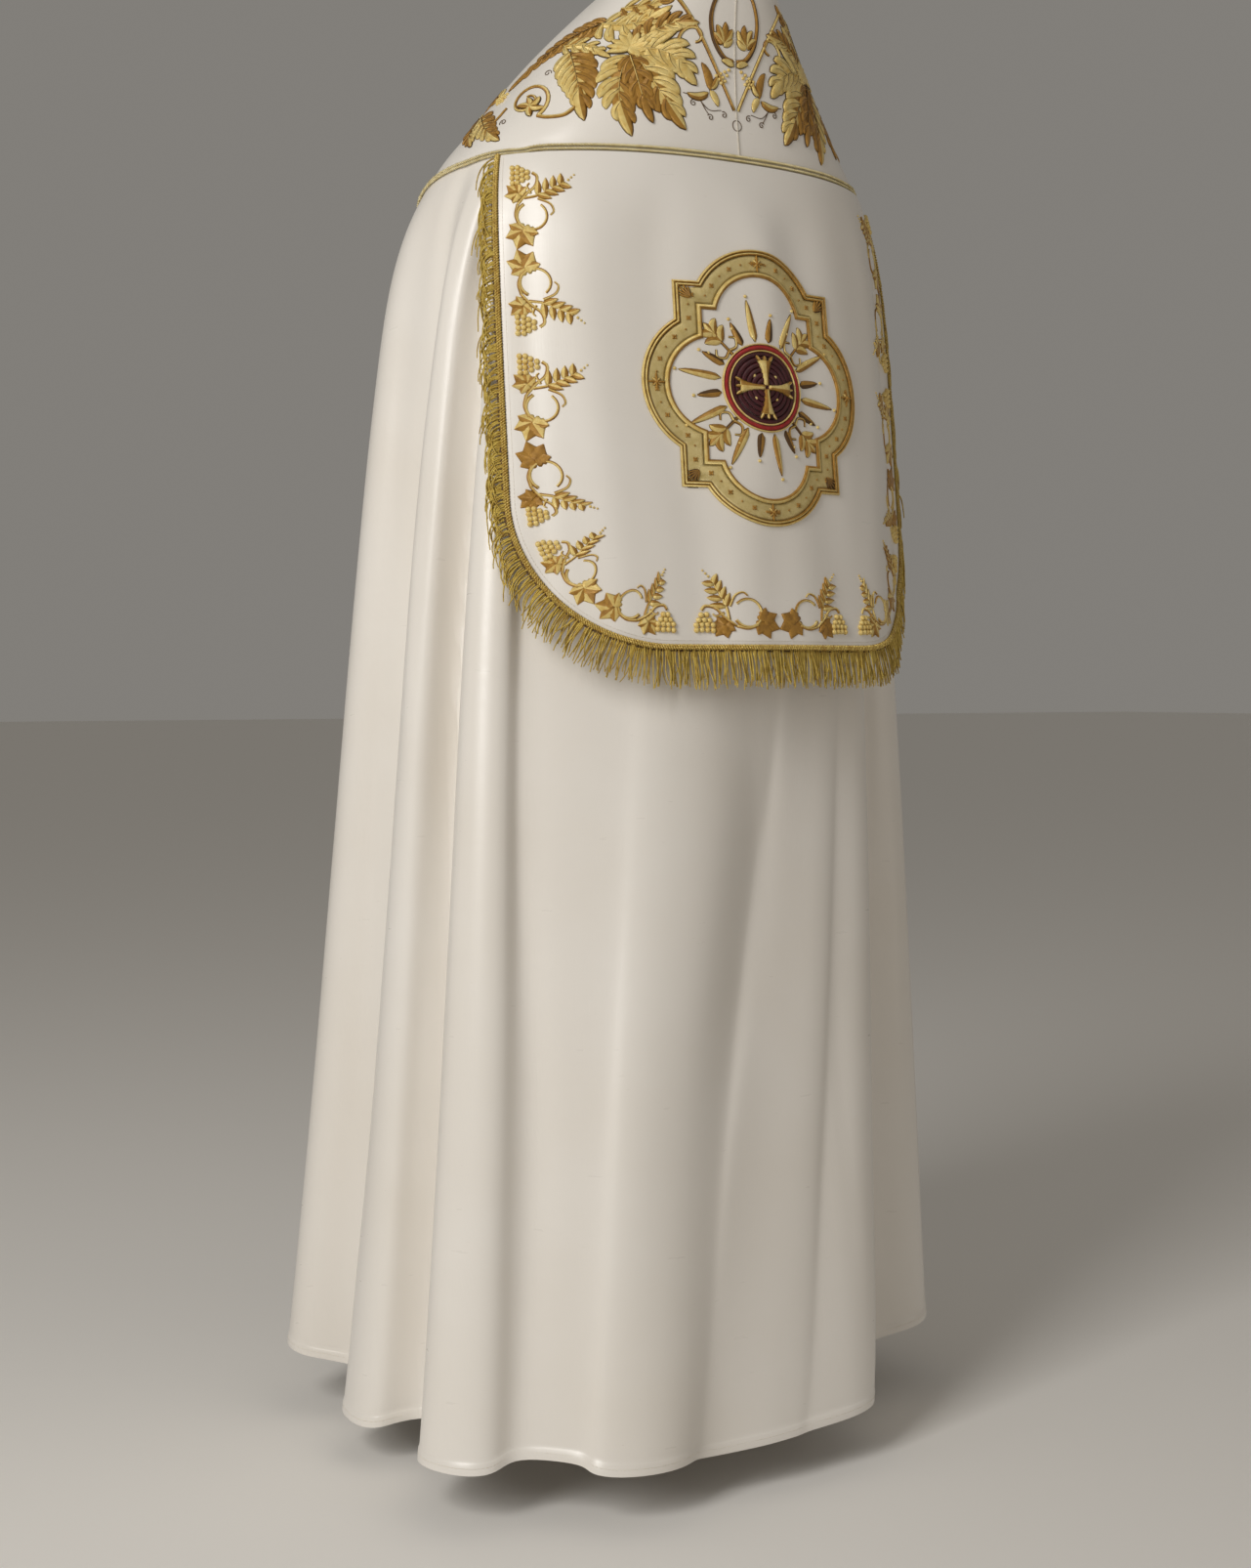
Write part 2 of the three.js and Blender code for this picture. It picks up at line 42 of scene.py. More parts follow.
# The form, in millimetres, in the solids' frame: the wearer faces -Y and +X is the wearer's left. Rings
# from the neckline to the hem: reach at the back, side and front, the height there, sway to the wearer's
# left, how much lower it hangs there, and where the front edge lies.
rings = dict(
    back=(72, 74, 75, 77, 76, 72, 71, 81, 108, 145, 187),
    backZ=(0, -45, -100, -160, -215, -300, -440, -650, -880, -1120, -1372),
    side=(62, 95, 136, 181, 221, 248, 263, 276, 285, 291, 298),
    sideZ=(-12, -52, -102, -162, -215, -300, -440, -649, -877, -1111, -1356),
    front=(92, 137, 180, 219, 250, 277, 300, 325, 353, 378, 402),
    frontZ=(-50, -90, -134, -186, -238, -312, -446, -650, -868, -1090, -1334),
    sway=(1, 7, 10, 10, 5, 1, -3, -4, -1, 8, 21),
    lean=(0, 0, 0, 0, 0, 0, 0, 1, 4, 9, 13),
    edge=(28, 30, 31, 32, 32, 33, 38, 48, 58, 66, 72),
)
# Ridges and hollows: the angle from the middle of the back at the shoulder seam and at the hem, in
# degrees, and how far the hem stands out and rises there.
folds = dict(
    top=(-180, -166, -152, -138, -127, -116, -100, -80, -54, -48, -41,
         -25, 43, 52, 60, 69, 80, 108, 126, 138, 152, 166, 180),
    hem=(-180, -166, -152, -138, -129, -117, -100, -79, -43, -10, 6,
         28, 42, 56, 76, 87, 102, 119, 129, 138, 152, 166, 180),
    out=(0, 0, 8, -8, -34, 16, -46, 18, -84, -10, -6,
         44, 26, 63, -28, 6, -44, 24, -34, -8, 8, 0, 0),
    rise=(0, 0, 3, 0, 0, 6, 0, 7, -6, 4, 3,
          8, 15, 6, 0, -7, 4, 12, 4, 0, 3, 0, 0),
)
form = dict(squareness=2.3, foldTop=3.9, foldGrowth=0.8, foldRoundness=0.6, seamAngle=138, seamBack=3.92,
            seamCorner=5.6, seamPower=6, neckTurn=117, edgeCorner=3.4, hemLevel=10, creaseWander=1.2,
            creaseTurns=2.3, creaseFade=0.8)
# Soft troughs (-) and ridges (+) of the cloth itself: angle at the start and end, the levels between
# which each runs, its half width in degrees and its depth in millimetres.
creases = dict(
    start=(-26, -40, -18, 60, 74, 80, 118, -62, -92, -110, -128, -7, -30, 47),
    end=(-14, 2, -12, 81, 80, 109, 121, -60, -88, -108, -126, 25, -8, 45),
    top=(6.4, 5.0, 8.4, 3.9, 4.1, 3.9, 4.9, 4.2, 4.4, 4.6, 5.3, 6.2, 9.1, 5.2),
    foot=(10.6, 10.8, 9.9, 12.0, 8.2, 12.0, 9.4, 9.9, 9.0, 10.3, 9.6, 10.8, 10.7, 11.0),
    width=(7.0, 6.0, 1.0, 2.8, 1.8, 3.2, 2.2, 3.6, 2.6, 3.0, 2.0, 6.8, 2.4, 2.6),
    depth=(4.0, -5.0, -0.7, -21.0, 2.2, -13.0, 2.6, 4.0, -3.4, 3.0, -2.6, -26.0, -1.4, -4.0),
)


def smoothStep(low, high, value):
    f = np.clip((value - low) / (high - low), 0, 1)
    return f * f * (3 - 2 * f)


def ringValue(name, level):
    column = np.array(rings[name], float)
    last = form["hemLevel"]
    row = np.clip(np.floor(level), 0, last - 1).astype(int)
    f = np.clip(level, 0, last) - row
    before, here, after, beyond = (column[np.clip(row + step, 0, last)] for step in (-1, 0, 1, 2))
    start = (2 * f ** 3 - 3 * f ** 2 + 1) * here + (f ** 3 - 2 * f ** 2 + f) * (after - before) / 2
    return start + (3 * f ** 2 - 2 * f ** 3) * after + (f ** 3 - f ** 2) * (beyond - here) / 2


def growthAt(level):
    return np.clip((level - form["foldTop"]) / (form["hemLevel"] - form["foldTop"]), 0, 1)


def foldAt(angle, level):
    top, hem, out, rise = (np.array(folds[name], float) for name in ("top", "hem", "out", "rise"))
    grow = growthAt(level)
    marks = top + (hem - top) * grow[..., None]
    after = np.clip((marks <= angle[..., None]).sum(-1), 1, len(top) - 1)
    start, end = (np.take_along_axis(marks, k[..., None], -1)[..., 0] for k in (after - 1, after))
    f = np.clip((angle - start) / (end - start), 0, 1)
    blend = (1 - np.cos(math.pi * f)) / 2
    depth = (out[after - 1] * (1 - blend) + out[after] * blend) * grow ** form["foldGrowth"]
    lift = (rise[after - 1] * (1 - blend) + rise[after] * blend) * grow
    roll = form["foldRoundness"] * np.sin(2 * math.pi * f) / (2 * math.pi) * (end - start)
    return depth, lift, roll * np.clip(grow * 3, 0, 1)


def creaseAt(angle, level):
    total = np.zeros_like(angle)
    for start, end, top, foot, width, depth in zip(*creases.values()):
        f = np.clip((level - top) / (foot - top), 0, 1)
        wander = form["creaseWander"] * np.sin(level * form["creaseTurns"] + start)
        middle = start + (end - start) * f + wander
        fade = np.sin(math.pi * f) ** form["creaseFade"]
        total += depth * fade * np.exp(-((angle - middle) / width) ** 2)
    return total


# The cloth's form at an angle from the middle of the back and a level from the neckline to the hem.
def drape(angle, level, out=0.0, smooth=False):
    angle, level = np.broadcast_arrays(np.asarray(angle, float), np.asarray(level, float))
    back, side, front = (ringValue(name, level) for name in ("back", "side", "front"))
    if smooth:
        depth, lift, roll = 0.0, 0.0, 0.0
    else:
        depth, lift, roll = foldAt(angle, level)
        depth = depth + creaseAt(angle, level)
    turn = np.radians(angle + roll)
    power = 2 / form["squareness"]
    across = np.sign(np.sin(turn)) * np.abs(np.sin(turn)) ** power
    along = np.sign(np.cos(turn)) * np.abs(np.cos(turn)) ** power
    half = (back + front) / 2
    normalX, normalY = across / side, along / half
    size = np.hypot(normalX, normalY)
    reach = depth + out
    sideShare = np.sin(turn) ** 2
    endZ = np.where(np.cos(turn) > 0, ringValue("backZ", level), ringValue("frontZ", level))
    z = endZ + (ringValue("sideZ", level) - endZ) * sideShare
    z = z - ringValue("lean", level) * np.sin(turn) + lift
    x = ringValue("sway", level) + side * across + reach * normalX / size
    y = (back - front) / 2 + half * along + reach * normalY / size
    return np.stack([x, y, z], -1)


def normalsOf(surface, a, b, stepA, stepB):
    alongA = surface(a + stepA, b) - surface(a - stepA, b)
    alongB = surface(a, b + stepB) - surface(a, b - stepB)
    normal = np.cross(alongA, alongB)
    return normal / np.linalg.norm(normal, axis=-1, keepdims=True)


def onDrape(angle, level):
    angle, level = np.broadcast_arrays(np.asarray(angle, float), np.asarray(level, float))
    inside = np.clip(level, 0.02, form["hemLevel"] - 0.02)
    return drape(angle, level), normalsOf(drape, angle, inside, 0.25, 0.02)


def seamLevel(angle):
    share = np.abs(angle) / form["seamAngle"]
    fall = 1 - np.sqrt(np.maximum(0, 1 - share ** form["seamPower"]))
    return form["seamBack"] + (form["seamCorner"] - form["seamBack"]) * fall


def edgeAngle(level):
    share = (ringValue("edge", level) / ringValue("side", level)) ** (form["squareness"] / 2)
    return 180 - np.degrees(np.arcsin(share))


# Colours are given as sRGB hex.
def colour(code):
    channels = [int(code[k:k + 2], 16) / 255 for k in (1, 3, 5)]
    linear = [c / 12.92 if c <= 0.04045 else ((c + 0.055) / 1.055) ** 2.4 for c in channels]
    return (*linear, 1.0)


def addNode(tree, kind, inputs=None, **settings):
    node = tree.nodes.new(kind)
    for name, value in settings.items():
        setattr(node, name, value)
    for socket, value in (inputs or {}).items():
        if isinstance(value, bpy.types.NodeSocket):
            tree.links.new(value, node.inputs[socket])
        else:
            node.inputs[socket].default_value = value
    return node


def startMaterial(name):
    material = bpy.data.materials.new(name)
    material.use_nodes = True
    material.node_tree.nodes.clear()
    return material, material.node_tree


def finishMaterial(tree, shader):
    addNode(tree, "ShaderNodeOutputMaterial", {"Surface": shader.outputs["BSDF"]})


# Ivory duchess satin: silk-like floats packed side by side give a broad, soft gloss along the folds and
# hardly any visible weave. The real threads are 0.15 mm apart, drawn here 1.1 mm apart to show at all.
satinLook = dict(light="#ebe7e1", deep="#ded7cc", roughness=0.29, threadPitch=0.0011, threadRepeats=40,
                 slub=0.006, slubRepeats=30, cloudScale=5.0, relief=0.12, reliefHeight=0.0005, sheen=0.15,
                 sheenRoughness=0.4, directionality=0.45, specular=0.6)


def satinMaterial():
    look = satinLook
    material, tree = startMaterial("ivoryDuchessSatin")
    place = addNode(tree, "ShaderNodeUVMap", uv_map="cut").outputs["UV"]
    cloud = addNode(tree, "ShaderNodeTexNoise", {
        "Vector": place, "Scale": look["cloudScale"], "Detail": 4.0})
    tone = addNode(tree, "ShaderNodeMix", {
        "Factor": cloud.outputs["Fac"], "A": colour(look["light"]), "B": colour(look["deep"])},
        data_type="RGBA")
    narrow = addNode(tree, "ShaderNodeMapping", {
        "Vector": place, "Scale": (1 / look["threadPitch"], look["threadRepeats"], 1)})
    warp = addNode(tree, "ShaderNodeTexNoise", {
        "Vector": narrow.outputs["Vector"], "Scale": 1.0, "Detail": 2.0})
    wide = addNode(tree, "ShaderNodeMapping", {
        "Vector": place, "Scale": (look["slubRepeats"], 1 / look["slub"], 1)})
    slub = addNode(tree, "ShaderNodeTexNoise", {
        "Vector": wide.outputs["Vector"], "Scale": 1.0, "Detail": 3.0})
    height = addNode(tree, "ShaderNodeMath", {
        0: warp.outputs["Fac"], 1: slub.outputs["Fac"]}, operation="ADD")
    bump = addNode(tree, "ShaderNodeBump", {
        "Height": height.outputs[0], "Strength": look["relief"], "Distance": look["reliefHeight"]})
    rough = addNode(tree, "ShaderNodeMapRange", {
        "Value": slub.outputs["Fac"], "To Min": look["roughness"] - 0.05, "To Max": look["roughness"] + 0.07})
    shader = addNode(tree, "ShaderNodeBsdfPrincipled", {
        "Base Color": tone.outputs["Result"], "Roughness": rough.outputs["Result"],
        "Normal": bump.outputs["Normal"], "Sheen Weight": look["sheen"],
        "Sheen Roughness": look["sheenRoughness"], "Anisotropic": look["directionality"],
        "Specular IOR Level": look["specular"]})
    finishMaterial(tree, shader)
    return material


# Metallic gold thread: a flat gilt strip wound on a silk core. Rows of it lie side by side, so the gloss
# breaks up into fine lines across the stitch. The colour follows the rows too: the light tone on each row is
# a painted highlight, the deep tone between rows is painted shade, and a cloud dims the highlight at random.
# Embroidery silk lies in the same rows, softer and with hardly any metal. The real threads are 0.3 mm apart,
# drawn here 0.8 mm apart to show at all.
# The wave length is that of the wave texture at scale 1, in metres.
threadLook = dict(pitch=0.0008, waveLength=0.314, distortion=0.6, cloudScale=170.0, relief=0.55,
                  reliefHeight=0.0004)


def threadMaterial(name, light, deep, metallic, roughness):
    look = threadLook
    material, tree = startMaterial(name)
    place = addNode(tree, "ShaderNodeUVMap", uv_map="cut").outputs["UV"]
    lines = addNode(tree, "ShaderNodeTexWave", {
        "Vector": place, "Scale": look["waveLength"] / look["pitch"], "Distortion": look["distortion"],
        "Detail": 1.0, "Detail Scale": 0.3})
    whole = addNode(tree, "ShaderNodeTexCoord").outputs["Object"]
    cloud = addNode(tree, "ShaderNodeTexNoise", {
        "Vector": whole, "Scale": look["cloudScale"], "Detail": 2.0})
    share = addNode(tree, "ShaderNodeMath", {
        0: lines.outputs["Fac"], 1: cloud.outputs["Fac"]}, operation="MULTIPLY")
    spread = addNode(tree, "ShaderNodeMapRange", {
        "Value": share.outputs[0], "From Min": 0.05, "From Max": 0.5})
    # Painted highlight on each thread row and painted shade between rows, dimmed at random by the cloud.
    tone = addNode(tree, "ShaderNodeMix", {
        "Factor": spread.outputs["Result"], "A": colour(deep), "B": colour(light)}, data_type="RGBA")
    bump = addNode(tree, "ShaderNodeBump", {
        "Height": lines.outputs["Fac"], "Strength": look["relief"], "Distance": look["reliefHeight"]})
    shader = addNode(tree, "ShaderNodeBsdfPrincipled", {
        "Base Color": tone.outputs["Result"], "Normal": bump.outputs["Normal"], "Metallic": metallic,
        "Roughness": roughness})
    finishMaterial(tree, shader)
    return material


satin = satinMaterial()
paleCord = threadMaterial("paleGiltCord", "#fff6cf", "#c9b26c", 0.15, 0.4)
goldBright = threadMaterial("brightGiltThread", "#faeba6", "#d3a846", 0.2, 0.34)
goldAntique = threadMaterial("antiqueGiltThread", "#d3a046", "#80571d", 0.24, 0.36)
goldOutline = threadMaterial("brownSilkOutline", "#6b4a1e", "#3f2a10", 0.1, 0.6)
paleInfill = threadMaterial("paleGiltGround", "#ead9a0", "#bfa65e", 0.2, 0.42)
fringeGold = threadMaterial("giltBraidThread", "#ffe98c", "#a87a1c", 0.25, 0.34)
fringeThread = threadMaterial("looseGiltThread", "#ffe678", "#93691a", 0.25, 0.32)
crimsonSilk = threadMaterial("crimsonSilk", "#c9322c", "#73121a", 0.05, 0.45)
maroonSilk = threadMaterial("maroonSilk", "#5e1a22", "#250a0f", 0.05, 0.45)
sewingThread = threadMaterial("ivorySewingThread", "#fffaf0", "#d8cdb8", 0.0, 0.5)
print("materials made")


# Meshes. Points are in millimetres and faces are quads; uv is in metres of cut cloth or thread. Edges
# sharper than the rim angle, in degrees, stay sharp.
rimAngle = 50


def makePiece(name, points, faces, uv, materials, faceMaterial=None):
    mesh = bpy.data.meshes.new(name)
    mesh.from_pydata((np.asarray(points) * 0.001).tolist(), [], np.asarray(faces).tolist())
    layer = mesh.uv_layers.new(name="cut")
    corners = np.empty(len(mesh.loops), dtype=np.int32)
    mesh.loops.foreach_get("vertex_index", corners)
    layer.data.foreach_set("uv", np.asarray(uv, dtype=np.float32)[corners].ravel())
    for material in materials:
        mesh.materials.append(material)
    if faceMaterial is not None:
        mesh.polygons.foreach_set("material_index", np.asarray(faceMaterial, dtype=np.int32))
    mesh.polygons.foreach_set("use_smooth", np.ones(len(mesh.polygons), dtype=bool))
    mesh.validate()
    piece = bpy.data.objects.new(name, mesh)
    bpy.context.scene.collection.objects.link(piece)
    return piece


def sheetGrid(rows, columns):
    i, j = np.meshgrid(np.arange(rows - 1), np.arange(columns - 1), indexing="ij")
    a = (i * columns + j).ravel()
    return np.stack([a, a + 1, a + columns + 1, a + columns], -1)


# The faces of a closed wall on a grid of points: the outer skin, the inner one, and the rim.
def wallFaces(rows, columns):
    skin = sheetGrid(rows, columns)
    count = rows * columns
    grid = np.arange(count).reshape(rows, columns)
    loop = np.concatenate([grid[0, :-1], grid[:-1, -1], grid[-1, :0:-1], grid[:0:-1, 0]])
    after = np.roll(loop, -1)
    rim = np.stack([loop, loop + count, after + count, after], -1)
    return np.concatenate([skin, skin[:, ::-1] + count, rim])


# A closed wall from a grid of points and normals (rows, columns, 3): the outer skin at lift, and the inner
# one a thickness inside it. Its rims stay sharp.
def wallPiece(name, points, normals, uv, thickness, materials, lift=0.0):
    rows, columns = points.shape[:2]
    lift = np.asarray(lift, float)
    outer = points + normals * (lift[..., None] if lift.ndim else lift)
    inner = points - normals * thickness
    faces = wallFaces(rows, columns)
    every = np.concatenate([outer.reshape(-1, 3), inner.reshape(-1, 3)])
    if facesInwards(every, faces[: len(faces) // 3], normals.reshape(-1, 3)):
        faces = faces[:, ::-1]
    bothUv = np.concatenate([uv.reshape(-1, 2)] * 2)
    piece = makePiece(name, every, faces, bothUv, materials)
    piece.data.set_sharp_from_angle(angle=math.radians(rimAngle))
    return piece


def facesInwards(points, faces, normals):
    a, b, d = (points[faces[:, k]] for k in (0, 1, 3))
    facing = np.cross(b - a, d - a)
    return float((facing * normals[faces[:, 0] % len(normals)]).sum()) < 0


# The distance walked along each row or column of a grid of points.
def walked(points, axis):
    step = np.linalg.norm(np.diff(points, axis=axis), axis=-1)
    start = np.zeros_like(np.take(step, [0], axis=axis))
    return np.concatenate([start, np.cumsum(step, axis=axis)], axis=axis)


# What a grid of cloth measures: the longest way along it, the longest way across it, and its area.
def cutSize(points):
    ways = [float(walked(points, axis).max()) / 1000 for axis in (0, 1)]
    right, down = np.diff(points, axis=0), np.diff(points, axis=1)
    halves = [np.linalg.norm(np.cross(right[:, k], down[n]), axis=-1).sum() / 2e6
              for k, n in ((slice(None, -1), slice(None, -1)), (slice(1, None), slice(1, None)))]
    return ways[0], ways[1], float(sum(halves))


# Cloth coordinates of a grid: metres walked across from its middle, and down from its top.
def cutUv(points):
    across = walked(points, 0)
    across = across - across[len(points) // 2]
    return np.stack([across, walked(points, 1)], -1) * 0.001


# Mantle: the body of the cope, with a narrow turned hem.
mantleLook = dict(columns=300, rows=96, thickness=1.6, columnSpread=1.12, rowSpread=1.05, length=1160,
                  hemDepth=14.0, hemThickness=0.7, hemRows=(0.002, 0.0105, 0.0125, 0.016, 0.02), seamGap=0.06)


def makeMantle():
    look = mantleLook
    corner = form["seamAngle"]
    share = np.linspace(-1, 1, look["columns"])
    angle = corner * np.sign(share) * (1 - (1 - np.abs(share)) ** look["columnSpread"])
    top = seamLevel(angle)
    down = np.linspace(0, 1, look["rows"]) ** look["rowSpread"]
    down = np.sort(np.concatenate([down, 1 - np.array(look["hemRows"])]))
    level = top[:, None] + (form["hemLevel"] - top[:, None]) * down[None, :]
    points, normals = onDrape(np.broadcast_to(angle[:, None], level.shape), level)
    points[:, 0] += (points[:, 1] - points[:, 0]) * look["seamGap"]
    fromHem = (1 - down) * look["length"]
    hem = look["hemThickness"] * (1 - smoothStep(look["hemDepth"] - 2, look["hemDepth"], fromHem))
    lift = np.broadcast_to(hem, level.shape)
    piece = wallPiece("mantle_cloth", points, normals, cutUv(points), look["thickness"], [satin], lift)
    seam, hemLine = (float(walked(points, 0)[-1, end]) / 1000 for end in (0, -1))
    length = float(walked(points, 1)[:, -1].mean()) / 1000
    area = cutSize(points)[2]
    print("mantle: seam %.3f, hem %.3f, length %.3f m, area %.3f m2" % (seam, hemLine, length, area))
    return piece, (seam, hemLine, length, area)


# Orphreys: the broad bands over the shoulders and down the fronts.
orphreyLook = dict(across=46, round=150, down=110, thickness=1.6, roundSpread=1.35, downSpread=1.05,
                   seamGap=0.05, middleGap=0.08)


# The inner and outer edge of a band, as angle and level, from the middle of the back to the front hem.
def orphreyStations(side):
    look = orphreyLook
    angle = form["seamAngle"] * (1 - (1 - np.linspace(0, 1, look["round"])) ** look["roundSpread"])
    below = np.clip((angle - form["neckTurn"]) / (form["seamAngle"] - form["neckTurn"]), 0, 1)
    innerLevel = below * form["edgeCorner"]
    innerAngle = np.where(angle <= form["neckTurn"], edgeAngle(np.zeros(1))[0] * angle / form["neckTurn"],
                          edgeAngle(innerLevel))
    share = np.linspace(0, 1, look["down"])[1:] ** look["downSpread"]
    downLevel = form["edgeCorner"] + (form["hemLevel"] - form["edgeCorner"]) * share
    outerDown = form["seamCorner"] + (form["hemLevel"] - form["seamCorner"]) * share
    inner = np.stack([np.concatenate([innerAngle, edgeAngle(downLevel)]),
                      np.concatenate([innerLevel, downLevel])], -1)
    outer = np.stack([np.concatenate([angle, np.full(len(share), form["seamAngle"])]),
                      np.concatenate([seamLevel(angle), outerDown])], -1)
    inner[:, 0] *= side
    outer[:, 0] *= side
    return inner, outer


def makeOrphrey(name, side):
    look = orphreyLook
    inner, outer = orphreyStations(side)
    share = np.linspace(0, 1, look["across"])[None, :, None]
    place = inner[:, None, :] + (outer - inner)[:, None, :] * share
    points, normals = onDrape(place[..., 0], place[..., 1])
    points[:, -1] += (points[:, -2] - points[:, -1]) * look["seamGap"]
    points[0, :, 0] += look["middleGap"] * side
    piece = wallPiece(name, points, normals, cutUv(points), look["thickness"], [satin])
    length, width, area = cutSize(points)
    print("%s: %.3f by %.3f m, area %.3f m2" % (name, width, length, area))
    return piece, (width, length, area)


# Shield: the stiffened hood panel. Flat places on it are across from its middle and down from its top.
# It hangs over the smooth form, which is charted from a level above the seam to the lowest one, and stands
# off further towards the wearer's left.
shieldLook = dict(width=466, drop=452, corner=128, taper=0.05, wall=2, hang=13, stand=1.05, topGap=2.6,
                  lift=52, liftFrom=-52, liftTo=-2, rows=110, columns=60, cornerColumns=34, thickness=1.8,
                  above=0.9, lowest=9.0, widest=112, calmTop=90, measuredAt=200.0)
# Its shallow waves: where each runs, how far it drifts on its way down, its half width and its depth.
waves = dict(across=(-196, -150, -60, 10, 82, 150, 205), drift=(6, -14, 10, -22, 16, 10, 4),
             width=(10, 24, 32, 28, 26, 22, 14), depth=(-1.8, 3.2, -3.6, 3.8, -4.2, 3.4, -2.0))


def shieldTables():
    look = shieldLook
    top = form["seamBack"] - look["above"]
    level = np.linspace(top, look["lowest"], 700)
    seamPoint = drape(np.zeros(1), np.full(1, form["seamBack"]), 0, True)
    drop = seamPoint[0, 2] - drape(0, level, 0, True)[:, 2]
    angle = np.linspace(0, look["widest"], 340)
    levels = np.linspace(top, look["lowest"], 60)
    arcs = []
    for sign in (-1, 1):
        ring = drape(sign * angle[None, :], levels[:, None], 0, True)[..., :2]
        arcs.append(walked(ring, 1))
    return level, drop, angle, levels, arcs


tables = shieldTables()


def angleAcross(across, level):
    angle, levels, arcs = tables[2:]
    row = np.clip((level - levels[0]) / (levels[1] - levels[0]), 0, len(levels) - 1.001)
    low = row.astype(int)
    f = row - low
    found = np.zeros_like(across)
    for sign, arc in zip((-1, 1), arcs):
        for k in np.unique(low):
            pick = (low == k) & (np.sign(across) == sign)
            if pick.any():
                reach = np.abs(across[pick])
                a = np.interp(reach, arc[k], angle)
                b = np.interp(reach, arc[k + 1], angle)
                found[pick] = sign * (a * (1 - f[pick]) + b * f[pick])
    return found


def shieldSurface(across, drop):
    across, drop = np.broadcast_arrays(np.asarray(across, float), np.asarray(drop, float))
    look = shieldLook
    level = np.interp(drop, tables[1], tables[0])
    angle = angleAcross(across, level)
    grow = growthAt(level) ** form["foldGrowth"]
    lift = look["lift"] * smoothStep(look["liftFrom"], look["liftTo"], angle) * grow
    hang = look["hang"] * (np.maximum(drop, 0) / look["drop"]) ** 0.7
    soft = np.zeros_like(drop)
    for middle, drift, width, depth in zip(*waves.values()):
        soft += depth * np.exp(-((across - middle - drift * np.sin(drop / 90)) / width) ** 2)
    soft *= smoothStep(0, look["calmTop"], drop)
    return drape(angle, level, look["stand"] + look["wall"] + lift + hang + soft, True)


def onShield(across, drop):
    across, drop = np.broadcast_arrays(np.asarray(across, float), np.asarray(drop, float))
    return shieldSurface(across, drop), normalsOf(shieldSurface, across, drop, 2.0, 2.0)


def tapered(across, drop):
    return across * (1 - shieldLook["taper"] * drop / shieldLook["drop"])


def makeShield():
    look = shieldLook
    flat = look["width"] / 2 - look["corner"]
    straight = look["drop"] - look["corner"]
    turn = np.radians(np.linspace(0, 90, look["cornerColumns"]))[1:]
    cornerX, cornerY = flat + look["corner"] * np.sin(turn), straight + look["corner"] * np.cos(turn)
    across = np.concatenate([-cornerX[::-1], np.linspace(-flat, flat, look["columns"]), cornerX])
    bottom = np.concatenate([cornerY[::-1], np.full(look["columns"], look["drop"]), cornerY])
    share = np.linspace(0, 1, look["rows"])
    drop = look["topGap"] + (bottom[:, None] - look["topGap"]) * share
    wide = tapered(np.broadcast_to(across[:, None], drop.shape), drop)
    points, normals = onShield(wide, drop)
    uv = np.stack([wide, drop], -1) * 0.001
    measured = tapered(np.linspace(-1, 1, 300) * look["width"] / 2, look["measuredAt"])
    straightAcross = shieldSurface(measured, look["measuredAt"])
    width = float(walked(straightAcross, 0)[-1]) / 1000
    cut = (width, *cutSize(points)[1:])
    print("shield: %.3f by %.3f m, area %.3f m2" % cut)
    return wallPiece("shield_cloth", points, normals, uv, look["thickness"], [satin]), cut


# The shield's edge from the top of one side to the other: flat place, and turn of the outward direction.
def shieldEdge(sideSteps, cornerSteps, bottomSteps):
    look = shieldLook
    flat = look["width"] / 2 - look["corner"]
    straight = look["drop"] - look["corner"]
    side = np.linspace(look["topGap"], straight, sideSteps, endpoint=False)
    turn = np.linspace(0, math.pi / 2, cornerSteps)
    half = np.concatenate([
        np.stack([np.full(sideSteps, look["width"] / 2), side, np.zeros(sideSteps)], -1),
        np.stack([flat + look["corner"] * np.cos(turn), straight + look["corner"] * np.sin(turn),
                  turn], -1),
        np.stack([np.linspace(flat, 0, bottomSteps)[1:], np.full(bottomSteps - 1, look["drop"]),
                  np.full(bottomSteps - 1, math.pi / 2)], -1)])
    mirrored = half * (-1, 1, -1) + (0, 0, math.pi)
    edge = np.concatenate([mirrored[:-1], half[::-1]])
    edge[:, 0] = tapered(edge[:, 0], edge[:, 1])
    return edge


mantle, mantleCut = makeMantle()
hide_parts("mantle")
orphreyLeft, leftCut = makeOrphrey("orphrey_left_cloth", 1)
orphreyRight, rightCut = makeOrphrey("orphrey_right_cloth", -1)
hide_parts("orphrey_left")
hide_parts("orphrey_right")
shield, shieldCut = makeShield()
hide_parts("shield")
for piece in (mantle, orphreyLeft, orphreyRight, shield):
    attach(piece, "root")
print("cloth made")


# Geometry Nodes trees that follow lines. A carrier mesh holds the lines, and the result is a plain mesh.
def startTree(name, sizes):
    tree = bpy.data.node_groups.new(name, "GeometryNodeTree")
    tree.interface.new_socket("Geometry", in_out="INPUT", socket_type="NodeSocketGeometry")
    for label, value in sizes.items():
        kind = "NodeSocketMaterial" if value is None else "NodeSocketFloat"
        socket = tree.interface.new_socket(label, in_out="INPUT", socket_type=kind)
        if value is not None:
            socket.default_value = value
    tree.interface.new_socket("Geometry", in_out="OUTPUT", socket_type="NodeSocketGeometry")
    return tree, tree.nodes.new("NodeGroupInput").outputs


